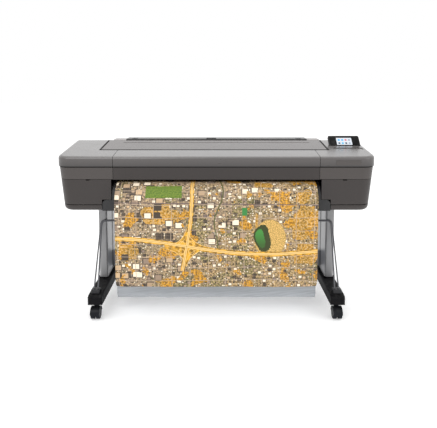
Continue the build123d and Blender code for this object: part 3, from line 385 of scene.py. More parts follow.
def fill_cloth(tree: Tree, sockets: Sockets) -> Sockets:
    """Plain weave of crossing threads with faint diagonal creases, whose light and shade are painted into the
    colour.

    Args:
        tree: Tree of the group.
        sockets: The group's inputs.

    Returns:
        The group's outputs except Top.
    """
    across, depth, height = split(tree, object_place(tree))
    turns = 2.0 * math.pi / THREAD
    warp = (across * turns).sine().size()
    weft = ((height + depth * 0.5) * turns).sine().size()
    checks = warp.greater(weft)
    skew = tree.nodes.new("ShaderNodeCombineXYZ")
    tree.links.new((across * 5.0 + height * 9.0 + depth * 6.0).socket, skew.inputs[0])
    tree.links.new((height * 120.0 - across * 16.0 + depth * 60.0).socket, skew.inputs[1])
    crease = noise_field(tree, skew.outputs[0], 1.0, 4.0)
    # Painted light and shade: the creases lighten and darken the cloth's colour as well as bumping it.
    tone = checks * 0.08 + (crease - 0.5) * 0.75 + 0.93
    rough = Field(tree, sockets["Rough"]) + (crease - 0.5) * 0.1
    relief = checks * 0.4 + crease * 2.0
    colour = shaded(tree, sockets["Colour"], tone)
    return {"Colour": colour, "Rough": rough.socket, "Height": relief.socket}


class Texture(Enum):
    """Surface effects shared by several finishes."""

    MOULDED = "moulded_plastic"
    BRUSHED = "brushed_metal"
    WOVEN = "woven_cloth"


def surface_groups() -> dict[Texture, Tree]:
    """Build each shared surface group once.

    Returns:
        The group of each texture.
    """
    inputs = (
        ("Colour", "NodeSocketColor", None),
        ("Rough", "NodeSocketFloat", 0.4),
        ("Grain", "NodeSocketFloat", 900.0),
        ("Spread", "NodeSocketFloat", 0.1),
        # Height of the lower edge under which painted shade darkens the colour.
        ("Fade", "NodeSocketFloat", -1.0),
    )
    outputs = (
        ("Colour", "NodeSocketColor"),
        ("Rough", "NodeSocketFloat"),
        ("Height", "NodeSocketFloat"),
        ("Top", "NodeSocketFloat"),
    )
    fills = {
        Texture.MOULDED: fill_moulding,
        Texture.BRUSHED: fill_brushing,
        Texture.WOVEN: fill_cloth,
    }
    return {kind: make_group(kind.value, inputs, outputs, fills[kind]) for kind in Texture}


@dataclass(frozen=True)
class Finish:
    """One material of the machine.

    The colour is linear RGB, grain is in bumps per metre and bump is a height in metres.
    """

    name: str
    colour: Rgb
    rough: float = 0.4
    metallic: float = 0.0
    texture: Texture = Texture.MOULDED
    grain: float = 900.0
    spread: float = 0.12
    bump: float = 0.00004
    coat: float = 0.0
    coat_rough: float = 0.12
    specular: float = 0.5
    sheen: float = 0.0
    # Height of a lower edge under which painted shade darkens the colour; -1 leaves it off.
    fade: float = -1.0
    glow: float = 0.0

    def build(self, groups: dict[Texture, Tree]) -> bpy.types.Material:
        """Make the Blender material.

        Args:
            groups: The shared surface groups.

        Returns:
            The finished material.
        """
        material = bpy.data.materials.new(self.name)
        material.use_nodes = True
        tree = material.node_tree
        shader = tree.nodes["Principled BSDF"]
        surface = tree.nodes.new("ShaderNodeGroup")
        surface.node_tree = groups[self.texture]
        surface.inputs["Colour"].default_value = (*self.colour, 1.0)
        surface.inputs["Rough"].default_value = self.rough
        surface.inputs["Grain"].default_value = self.grain
        surface.inputs["Spread"].default_value = self.spread
        surface.inputs["Fade"].default_value = self.fade
        tree.links.new(surface.outputs["Colour"], shader.inputs["Base Color"])
        tree.links.new(surface.outputs["Rough"], shader.inputs["Roughness"])
        bump = tree.nodes.new("ShaderNodeBump")
        bump.inputs["Distance"].default_value = self.bump
        bump.inputs["Strength"].default_value = 0.6
        tree.links.new(surface.outputs["Height"], bump.inputs["Height"])
        tree.links.new(bump.outputs["Normal"], shader.inputs["Normal"])
        shader.inputs["Metallic"].default_value = self.metallic
        if self.coat:
            coat = Field(tree, surface.outputs["Top"]) * self.coat
            tree.links.new(coat.socket, shader.inputs["Coat Weight"])
        shader.inputs["Coat Roughness"].default_value = self.coat_rough
        shader.inputs["Specular IOR Level"].default_value = self.specular
        shader.inputs["Sheen Weight"].default_value = self.sheen
        if self.glow:
            shader.inputs["Emission Color"].default_value = (*self.colour, 1.0)
            shader.inputs["Emission Strength"].default_value = self.glow
        return material


FINISHES: dict[str, Finish] = {
    # Charcoal shell with a coat on the faces that look up; painted shade darkens it near the upper shell's
    # lower edge.
    "shell_silver": Finish(
        "shell_silver", (0.085, 0.077, 0.075), 0.3, spread=0.1, bump=0.000015,
        coat=1.0, coat_rough=0.24, fade=0.857,
    ),
    "shell_charcoal": Finish("shell_charcoal", (0.032, 0.0262, 0.0245), 0.42, specular=0.4),
    # Lighter copy of the shell charcoal: painted light for the side covers' band, which catches more light
    # than the lower shell.
    "band_charcoal": Finish("band_charcoal", (0.058, 0.050, 0.047), 0.42, specular=0.4),
    "shell_grey": Finish("shell_grey", (0.060, 0.058, 0.058), 0.38),
    # Pale finish of the roll supports: partly their own pale plastic, partly a painted highlight.
    "ear_pale": Finish("ear_pale", (0.26, 0.24, 0.235), 0.3, coat=0.6),
    "window_smoke": Finish(
        "window_smoke", (0.085, 0.073, 0.071), 0.2, bump=0.00001, coat=0.25, specular=0.35
    ),
    "stand_grey": Finish("stand_grey", (0.27, 0.27, 0.275), 0.36, metallic=0.25, grain=1400.0),
    "brace_grey": Finish("brace_grey", (0.33, 0.35, 0.42), 0.45, grain=1400.0),
    "foot_dark": Finish("foot_dark", (0.005, 0.0048, 0.006), 0.55, specular=0.08),
    "clip_grey": Finish("clip_grey", (0.012, 0.012, 0.015), 0.35, specular=0.35),
    "caster_black": Finish("caster_black", (0.005, 0.006, 0.009), 0.35, specular=0.18),
    "caster_tread": Finish("caster_tread", (0.006, 0.008, 0.013), 0.55, grain=400.0, specular=0.16),
    "bolt_black": Finish("bolt_black", (0.03, 0.03, 0.032), 0.35, metallic=0.8, texture=Texture.BRUSHED),
    "wire_dark": Finish("wire_dark", (0.11, 0.11, 0.12), 0.3, metallic=0.6, grain=1600.0),
    "sling_cloth": Finish(
        "sling_cloth", (0.38, 0.40, 0.425), 0.8, texture=Texture.WOVEN, bump=0.0006, sheen=0.25
    ),
    "paper_blank": Finish("paper_blank", (0.82, 0.82, 0.81), 0.6, grain=2500.0, spread=0.03),
    "screen_case": Finish("screen_case", (0.006, 0.006, 0.006), 0.45, specular=0.25),
    "screen_face": Finish("screen_face", (0.0035, 0.0035, 0.004), 0.12, bump=0.0, specular=0.06),
    "plate_label": Finish("plate_label", (0.060, 0.052, 0.049), 0.35, texture=Texture.BRUSHED),
    # Matte black; also laid as strips and walls that paint in shade at gaps and grooves.
    "seal_black": Finish("seal_black", (0.006, 0.006, 0.006), 0.9, specular=0.03),
    "chassis_steel": Finish(
        "chassis_steel", (0.42, 0.43, 0.44), 0.35, metallic=0.9, texture=Texture.BRUSHED
    ),
    "rail_alloy": Finish("rail_alloy", (0.58, 0.59, 0.60), 0.3, metallic=0.9, texture=Texture.BRUSHED),
    "roller_rubber": Finish("roller_rubber", (0.03, 0.03, 0.033), 0.7, grain=600.0),
    "gear_white": Finish("gear_white", (0.62, 0.60, 0.56), 0.45),
    "steel_bright": Finish("steel_bright", (0.5, 0.51, 0.52), 0.25, metallic=1.0, texture=Texture.BRUSHED),
    "inner_black": Finish("inner_black", (0.012, 0.012, 0.013), 0.5),
    "carriage_grey": Finish("carriage_grey", (0.05, 0.05, 0.055), 0.45),
    "head_blue": Finish("head_blue", (0.04, 0.09, 0.24), 0.4),
    "cartridge_mix": Finish("cartridge_mix", (0.02, 0.02, 0.022), 0.45),
    "spindle_black": Finish("spindle_black", (0.02, 0.02, 0.02), 0.4),
    "hub_blue": Finish("hub_blue", (0.03, 0.14, 0.40), 0.38),
    "display_white": Finish("display_white", (0.46, 0.49, 0.53), 0.3, bump=0.0, specular=0.1, glow=0.45),
    "tile_cyan": Finish("tile_cyan", (0.05, 0.33, 0.58), 0.4, bump=0.0, specular=0.1, glow=0.3),
    "tile_rose": Finish("tile_rose", (0.50, 0.10, 0.15), 0.4, bump=0.0, specular=0.1, glow=0.3),
    "tile_slate": Finish("tile_slate", (0.05, 0.075, 0.11), 0.4, bump=0.0, specular=0.1, glow=0.2),
    "tile_mist": Finish("tile_mist", (0.24, 0.29, 0.36), 0.4, bump=0.0, specular=0.1, glow=0.3),
    "ink_cyan": Finish("ink_cyan", (0.02, 0.30, 0.55), 0.4),
    "ink_magenta": Finish("ink_magenta", (0.50, 0.03, 0.22), 0.4),
    "ink_yellow": Finish("ink_yellow", (0.75, 0.55, 0.03), 0.4),
    "floor_pale": Finish("floor_pale", (0.93, 0.93, 0.93), 0.9, bump=0.0, spread=0.0, specular=0.0, glow=0.3),
}


# ------------------------------------------------------------------ city print
@dataclass(frozen=True)
class CityPrint:
    """Made-up city plan printed on the sheet; distances are metres on the paper."""

    name: str = "paper_print"
    rough: float = 0.45
    street_grid: tuple[float, float] = (0.098, 0.071)
    crossing: tuple[float, float] = (-0.165, 0.222)
    main_road: float = 0.468
    field_box: tuple[float, float, float, float] = (-0.29, 0.537, 0.100, 0.037)
    common: tuple[float, float, float] = (0.295, 0.275, 0.088)
    soil: Rgb = (0.29, 0.20, 0.10)
    lilac: Rgb = (0.27, 0.205, 0.185)
    gold: Rgb = (0.52, 0.27, 0.022)
    olive: Rgb = (0.075, 0.080, 0.030)
    shade: Rgb = (0.045, 0.036, 0.030)
    roof_pale: Rgb = (0.68, 0.63, 0.57)
    roof_tan: Rgb = (0.46, 0.34, 0.225)
    roof_dark: Rgb = (0.12, 0.10, 0.11)
    asphalt: Rgb = (0.115, 0.09, 0.092)
    lane: Rgb = (0.60, 0.43, 0.19)
    dust: Rgb = (0.40, 0.30, 0.17)
    scrub: Rgb = (0.16, 0.145, 0.06)
    bare: Rgb = (0.60, 0.46, 0.29)
    thicket: Rgb = (0.06, 0.05, 0.028)
    straw: Rgb = (0.16, 0.085, 0.012)
    lane_pale: Rgb = (0.30, 0.24, 0.20)
    street_pale: Rgb = (0.33, 0.27, 0.23)
    lawns: tuple[Rgb, Rgb] = ((0.03, 0.085, 0.010), (0.17, 0.24, 0.035))
    sands: tuple[Rgb, Rgb] = ((0.17, 0.12, 0.03), (0.62, 0.42, 0.16))
    waters: tuple[Rgb, Rgb] = ((0.03, 0.09, 0.02), (0.04, 0.19, 0.04))
    verges: tuple[Rgb, Rgb] = ((0.15, 0.085, 0.012), (0.56, 0.31, 0.03))
    wood: Rgb = (0.028, 0.040, 0.012)
    turf: Rgb = (0.03, 0.17, 0.05)
    divider: Rgb = (0.20, 0.11, 0.03)
    gain: Rgb = (1.38, 1.28, 1.08)
    districts: float = 9.5
    # Buildings per metre, share of empty cells and half width of a building in cells.
    small_blocks: tuple[float, float, float] = (78.0, 0.30, 0.29)
    middle_blocks: tuple[float, float, float] = (36.0, 0.52, 0.29)
    large_blocks: tuple[float, float, float] = (17.0, 0.50, 0.30)
    shade_rim: float = 0.09
    minor_grid: tuple[float, float] = (0.0245, 0.0178)
    minor_width: float = 0.0008
    street_half: float = 0.0015
    lane_half: float = 0.0014
    avenue_half: float = 0.0026
    creek_half: float = 0.0035
    fray: float = 0.016
    pitch: tuple[float, float, float, float] = (0.155, 0.425, 0.014, 0.022)
    low_half: float = 0.0135
    tall_half: float = 0.0115
    star_size: float = 0.455
    star_lines: tuple[tuple[float, float], ...] = ((0.450, 0.0055), (0.385, 0.0040))
    ramp_loop: tuple[float, float, float, float] = (0.027, 0.022, 0.0155, 0.0012)

    def build(self) -> bpy.types.Material:
        """Make the printed paper material.

        Returns:
            The finished material.
        """
        group = make_group(
            "city_plan",
            (("Place", "NodeSocketVector", None),),
            (("Colour", "NodeSocketColor"),),
            self.fill,
        )
        material = bpy.data.materials.new(self.name)
        material.use_nodes = True
        tree = material.node_tree
        shader = tree.nodes["Principled BSDF"]
        print_area = tree.nodes.new("ShaderNodeGroup")
        print_area.node_tree = group
        place = tree.nodes.new("ShaderNodeUVMap")
        place.uv_map = "sheet"
        tree.links.new(place.outputs["UV"], print_area.inputs["Place"])
        tree.links.new(print_area.outputs["Colour"], shader.inputs["Base Color"])
        shader.inputs["Roughness"].default_value = self.rough
        shader.inputs["Specular IOR Level"].default_value = 0.3
        fibres = noise_field(tree, object_place(tree), 1800.0, 3.0)
        bump = tree.nodes.new("ShaderNodeBump")
        bump.inputs["Distance"].default_value = 0.00002
        tree.links.new(fibres.socket, bump.inputs["Height"])
        tree.links.new(bump.outputs["Normal"], shader.inputs["Normal"])
        return material

    def cells(
        self, tree: Tree, place: Socket, scale: float, spread: float = 1.0
    ) -> tuple[Field, Field, Field]:
        """Square-ish random cells.

        Args:
            tree: Tree that gets the nodes.
            place: Where to sample.
            scale: Cells per metre.
            spread: How uneven the cells are.

        Returns:
            Distance from the cell's middle in cells and two random values of the cell.
        """
        node = tree.nodes.new("ShaderNodeTexVoronoi")
        node.distance = "CHEBYCHEV"
        node.inputs["Scale"].default_value = scale
        node.inputs["Randomness"].default_value = spread
        tree.links.new(place, node.inputs["Vector"])
        chance = tree.nodes.new("ShaderNodeSeparateColor")
        tree.links.new(node.outputs["Color"], chance.inputs[0])
        return (
            Field(tree, node.outputs["Distance"]),
            Field(tree, chance.outputs[0]),
            Field(tree, chance.outputs[1]),
        )

    def buildings(
        self,
        tree: Tree,
        place: Socket,
        colour: Socket,
        scale: float,
        wanted: float,
        reach: float,
        where: Optional[Field] = None,
    ) -> Socket:
        """Lay one size of building over the plan, each with a dark rim of shade.

        Args:
            tree: Tree that gets the nodes.
            place: Where to sample.
            colour: Plan so far.
            scale: Buildings per metre.
            wanted: Share of the cells that stay empty.
            reach: Half width of a building in cells.
            where: Mask that limits them to some districts.

        Returns:
            The plan with the buildings.
        """
        middle, kind, tone = self.cells(tree, stretched(tree, place, (1.0, 1.25, 1.0)), scale, 0.8)
        present = kind.above(wanted)
        if where is not None:
            present = present * where
        roof = mix_colour(tree, tone.ramp(0.0, 0.45), self.roof_dark, self.roof_tan)
        roof = mix_colour(tree, tone.above(0.48), roof, self.roof_pale)
        colour = mix_colour(tree, present * middle.below(reach + self.shade_rim), colour, self.shade)
        return mix_colour(tree, present * middle.below(reach), colour, roof)

    def fill(self, tree: Tree, sockets: Sockets) -> Sockets:
        """Lay ground, trees, roofs, streets, parks and highways over each other.

        Args:
            tree: Tree of the group.
            sockets: The group's inputs.

        Returns:
            The group's outputs.
        """
        place = sockets["Place"]
        x, y, _ = split(tree, place)
        _, zone, zone_b = self.cells(tree, place, self.districts)
        speckle = noise_field(tree, place, 210.0, 3.0)
        clumps = noise_field(tree, place, 95.0, 3.0)
        trade = (zone * 0.5 - x * 1.3 + y * 0.9).above(0.42)
        ground = mix_colour(tree, trade, self.soil, self.lilac)
        ground = mix_colour(tree, zone.ramp(0.2, 0.8) * 0.5, ground, self.dust)
        ground = mix_colour(tree, zone_b.above(0.86), ground, self.gold)
        ground = mix_colour(tree, zone_b.below(0.14), ground, self.scrub)
        ground = mix_colour(tree, clumps.ramp(0.50, 0.62) * 0.8, ground, self.bare)
        ground = mix_colour(tree, clumps.ramp(0.47, 0.36) * 0.85, ground, self.thicket)
        ground = mix_colour(tree, speckle.ramp(0.50, 0.38) * 0.6, ground, self.shade)
        built = zone_b.below(0.86)
        colour = self.buildings(tree, place, ground, *self.small_blocks, built)
        grove = noise_field(tree, place, 7.0, 1.0).ramp(0.38, 0.62)
        colour = mix_colour(tree, speckle.above(0.53) * (grove * 0.85 + 0.1), colour, self.olive)
        colour = self.buildings(tree, place, colour, *self.middle_blocks, built)
        colour = self.buildings(tree, place, colour, *self.large_blocks, trade)
        patches = noise_field(tree, place, 9.0, 4.0)
        dry = mix_colour(tree, clumps.ramp(0.40, 0.58), self.straw, self.gold)
        wanted = patches + (y - 0.25).ramp(0.2, -0.3) * 0.035 + x * 0.03
        colour = mix_colour(tree, wanted.above(0.595) * speckle.below(0.60), colour, dry)
        colour = self.streets(tree, colour, place, built)
        colour = self.parks(tree, colour, x, y, speckle)
        colour = self.highways(tree, colour, place, speckle)
        gain = tree.nodes.new("ShaderNodeVectorMath")
        gain.operation = "MULTIPLY"
        gain.inputs[1].default_value = self.gain
        tree.links.new(colour, gain.inputs[0])
        return {"Colour": gain.outputs[0]}

    def streets(self, tree: Tree, colour: Socket, place: Socket, built: Field) -> Socket:
        """Add lanes, streets, the avenue and a creek.

        Args:
            tree: Tree that gets the nodes.
            colour: Plan so far.
            place: Where to sample.
            built: Mask of the districts with buildings.

        Returns:
            The plan with its streets.
        """
        x, y, _ = split(tree, place)
        across, along = self.street_grid
        warp = (noise_field(tree, place, 2.4, 0.0) - 0.5) * 0.04
        street = ((x + warp).wrap(across) - across / 2).size().below(self.street_half)
        lane = ((y + warp).wrap(along) - along / 2).size().below(self.lane_half)
        minor_x = (x + warp).wrap(self.minor_grid[0]).below(self.minor_width)
        minor_y = (y - warp).wrap(self.minor_grid[1]).below(self.minor_width)
        minor = minor_x.greater(minor_y)
        colour = mix_colour(tree, minor * 0.7 * built, colour, self.lane_pale)
        colour = mix_colour(tree, street.greater(lane) * 0.9, colour, self.street_pale)
        avenue = (y - self.main_road + x * 0.012).size().below(self.avenue_half)
        colour = mix_colour(tree, avenue, colour, self.asphalt)
        swing = (y * 21.0).sine() * 0.016
        creek = (x + 0.012 + swing - (y - 0.2) * 0.10).size().below(self.creek_half)
        return mix_colour(tree, creek * y.above(0.2), colour, self.olive)

    def parks(self, tree: Tree, colour: Socket, x: Field, y: Field, speckle: Field) -> Socket:
        """Add a green field near the top and a pond in a golden common.

        Args:
            tree: Tree that gets the nodes.
            colour: Plan so far.
            x: Distance across the paper.
            y: Distance up the paper.
            speckle: Fine noise that frays the outlines.

        Returns:
            The plan with its parks.
        """
        ragged = (speckle - 0.5) * self.fray
        cx, cy, half_x, half_y = self.field_box
        square = (x - cx + ragged).size().below(half_x) * (y - cy - ragged).size().below(half_y)
        lawn = mix_colour(tree, speckle.ramp(0.42, 0.60), *self.lawns)
        colour = mix_colour(tree, square, colour, lawn)
        px, py, radius = self.common
        across = x - px
        along = y - py
        common = ((across * across + along * along * 0.7).root() + ragged * 1.5).below(radius)
        sand = mix_colour(tree, speckle.ramp(0.40, 0.58), *self.sands)
        colour = mix_colour(tree, common, colour, sand)
        swing = (along * 38.0 + 0.6).sine() * 0.008
        bank = across + 0.040 + swing
        trees = ((bank * bank + along * along * 0.35).root() + ragged).below(0.046)
        colour = mix_colour(tree, trees, colour, self.wood)
        shore = across + 0.050 + swing
        pond = ((shore * shore + along * along * 0.22).root() + ragged * 0.7).below(0.025)
        water = mix_colour(tree, (along * 14.0 + 0.5).ramp(0.0, 1.0), *self.waters)
        colour = mix_colour(tree, pond, colour, water)
        cx, cy, half_x, half_y = self.pitch
        pitch = (x - cx).size().below(half_x) * (y - cy).size().below(half_y)
        return mix_colour(tree, pitch, colour, self.turf)

    def highways(self, tree: Tree, colour: Socket, place: Socket, speckle: Field) -> Socket:
        """Add two highways, golden verges and the star of ramps where they cross.

        Args:
            tree: Tree that gets the nodes.
            colour: Plan so far.
            place: Where to sample.
            speckle: Fine noise that frays the outlines.

        Returns:
            The plan with its highways.
        """
        x, y, _ = split(tree, place)
        cross_x, cross_y = self.crossing
        low = (y - cross_y + (x * 4.6 + 0.75).sine() * 0.026 + x * 0.045).size()
        tall = (x - cross_x - (y - cross_y) * 0.09 - ((y - cross_y) * 9.0).sine() * 0.010).size()
        tall_mask = (y - cross_y + 0.13).above(0.0)
        dx = (x - cross_x).size()
        dy = (y - cross_y).size()
        clumps = noise_field(tree, place, 42.0, 3.0)
        verge = mix_colour(tree, clumps.ramp(0.38, 0.60), *self.verges)
        star = ((dx + 0.004).root() + (dy * 1.35 + 0.004).root() + (speckle - 0.5) * 0.03)
        inside = star.below(self.star_size)
        wide_tall = tall.below(self.tall_half) * tall_mask
        wide = low.below(self.low_half).greater(wide_tall).greater(inside)
        colour = mix_colour(tree, wide, colour, verge)
        outer, inner = ((star - size).size().below(half) for size, half in self.star_lines)
        rims = outer.greater(inner)
        loop_x, loop_y, radius, half = self.ramp_loop
        ring_x = dx - loop_x
        ring_y = dy - loop_y
        loops = ((ring_x * ring_x + ring_y * ring_y).root() - radius).size().below(half)
        colour = mix_colour(tree, loops.greater(rims), colour, self.lane)
        tall_lanes = (tall - 0.0036).size().below(0.0026) * tall_mask
        lanes = (low - 0.0038).size().below(0.0030).greater(tall_lanes)
        colour = mix_colour(tree, lanes, colour, self.lane)
        middle = low.below(0.0008).greater(tall.below(0.0008) * tall_mask)
        return mix_colour(tree, middle, colour, self.divider)


# ------------------------------------------------------------------ mesh helpers
class Kit:
    """Frame, materials and mesh makers shared by the sub-assemblies."""

    def __init__(self, frame: dict) -> None:
        """Build every material once.

        Args:
            frame: The loaded CAD frame.
        """
        groups = surface_groups()
        self.frame = frame
        self.materials = {slot: finish.build(groups) for slot, finish in FINISHES.items()}
        self.materials["paper_print"] = CityPrint().build()

    def dress(self, *nodes: str, finish: Optional[str] = None) -> None:
        """Give CAD nodes a finish, by default the one of their own slot.

        Args:
            nodes: Names of CAD nodes.
            finish: Name of another finish.
        """
        wanted = {s["node"]: s["material_slot"] for s in self.frame["record"]["subparts"]}
        for node in nodes:
            obj = self.frame["nodes"][node]
            for slot in obj.material_slots:
                slot.material = self.materials[finish or wanted[node]]
            LOG.info("dressed %s", node)

    def piece(
        self,
        name: str,
        shape: Mesh,
        body: Body,
        slot: str,
        finish: Optional[str] = None,
        smooth: bool = True,
        bevel: float = 0.0,
        solid: bool = True,
    ) -> bpy.types.Object:
        """Turn a bmesh into a finished piece that rides on a body.

        Args:
            name: Name of the piece.
            shape: Mesh in metres in the row frame; it is freed.
            body: Body that the piece moves with.
            slot: Material slot of the record.
            finish: Finish, where it isn't the slot's own.
            smooth: Whether its faces are shaded smooth.
            bevel: Width of the bevel on its sharp edges.
            solid: Whether it is closed, so that its faces can be turned outwards.

        Returns:
            The new object.
        """
        mesh = bpy.data.meshes.new(name)
        if solid:
            bmesh.ops.recalc_face_normals(shape, faces=shape.faces)
        shape.to_mesh(mesh)
        shape.free()
        obj = bpy.data.objects.new(name, mesh)
        bpy.context.scene.collection.objects.link(obj)
        mesh.materials.append(self.materials[finish or slot])
        for polygon in mesh.polygons:
            polygon.use_smooth = smooth
        mesh.set_sharp_from_angle(angle=math.radians(35.0))
        if bevel:
            rounding = obj.modifiers.new("rounding", "BEVEL")
            rounding.width = bevel
            rounding.segments = 2
            rounding.limit_method = "ANGLE"
            rounding.harden_normals = True
        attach(obj, body.value)
        LOG.info("built %s on %s", name, body.value)
        return obj


def add_block(shape: Mesh, low: Point, high: Point) -> None:
    """Add an axis-aligned block to a bmesh.

    Args:
        shape: Mesh to add to.
        low: Lowest corner.
        high: Highest corner.
    """
    centre = [(a + b) / 2 for a, b in zip(low, high)]
    size = [b - a for a, b in zip(low, high)]
    matrix = Matrix.Translation(centre) @ Matrix.Diagonal((*size, 1.0))
    bmesh.ops.create_cube(shape, size=1.0, matrix=matrix)


def add_plate(
    shape: Mesh,
    place: Matrix,
    width: float,
    length: float,
    corner: float,
    thickness: float,
    steps: int = 6,
) -> None:
    """Add a flat plate with rounded corners.

    Args:
        shape: Mesh to add to.
        place: Its middle, with its own X and Y along the plate and Z out of it.
        width: Size along its X.
        length: Size along its Y.
        corner: Corner radius.
        thickness: How far it stands out along its Z.
        steps: Divisions of each corner.
    """
    ring: list[Vector] = []
    for quarter, (sx, sy) in enumerate(((1, 1), (-1, 1), (-1, -1), (1, -1))):
        for step in range(steps + 1):
            angle = math.pi / 2 * (quarter + step / steps)
            ring.append(
                Vector(
                    (
                        sx * (width / 2 - corner) + corner * math.cos(angle),
                        sy * (length / 2 - corner) + corner * math.sin(angle),
                        0.0,
                    )
                )
            )
    low = [shape.verts.new(place @ p) for p in ring]
    high = [shape.verts.new(place @ (p + Vector((0, 0, thickness)))) for p in ring]
    shape.faces.new(list(reversed(low)))
    shape.faces.new(high)
    for index in range(len(ring)):
        after = (index + 1) % len(ring)
        shape.faces.new((low[index], low[after], high[after], high[index]))


def add_drum(
    shape: Mesh,
    start: Point,
    end: Point,
    radius: float,
    sides: int = 32,
    tip: Optional[float] = None,
) -> None:
    """Add a round bar or cone frustum between two points.

    Args:
        shape: Mesh to add to.
        start: Middle of the first end.
        end: Middle of the other end.
        radius: Radius at the first end.
        sides: Number of sides.
        tip: Radius at the other end, where it differs.
    """
    a, b = Vector(start), Vector(end)
    turn = (b - a).to_track_quat("Z", "Y").to_matrix().to_4x4()
    matrix = Matrix.Translation((a + b) / 2) @ turn
    bmesh.ops.create_cone(
        shape,
        cap_ends=True,
        segments=sides,
        radius1=radius,
        radius2=radius if tip is None else tip,
        depth=(b - a).length,
        matrix=matrix,
    )


def grid_mesh(
    rows: int,
    columns: int,
    place: Callable[[int, int], Vector],
) -> tuple[Mesh, list[list[bmesh.types.BMVert]]]:
    """Sheet of quads.

    Args:
        rows: Number of points along the sheet.
        columns: Number of points across it.
        place: Gives the point at a row and column.

    Returns:
        The mesh and its vertices by row.
    """
    shape = bmesh.new()
    verts = [[shape.verts.new(place(r, c)) for c in range(columns)] for r in range(rows)]
    for r in range(rows - 1):
        for c in range(columns - 1):
            shape.faces.new((verts[r][c], verts[r + 1][c], verts[r + 1][c + 1], verts[r][c + 1]))
    return shape, verts


def segment_at(lengths: list[float], distance: float) -> tuple[int, float]:
    """Find the stretch of a path that a distance falls in.

    Args:
        lengths: Length along the path at each of its points.
        distance: Distance along the path.

    Returns:
        Index of the stretch and the share of it that is passed.
    """
    for index in range(len(lengths) - 1):
        if distance <= lengths[index + 1] + 1e-9:
            return index, (distance - lengths[index]) / (lengths[index + 1] - lengths[index])
    return len(lengths) - 2, 1.0


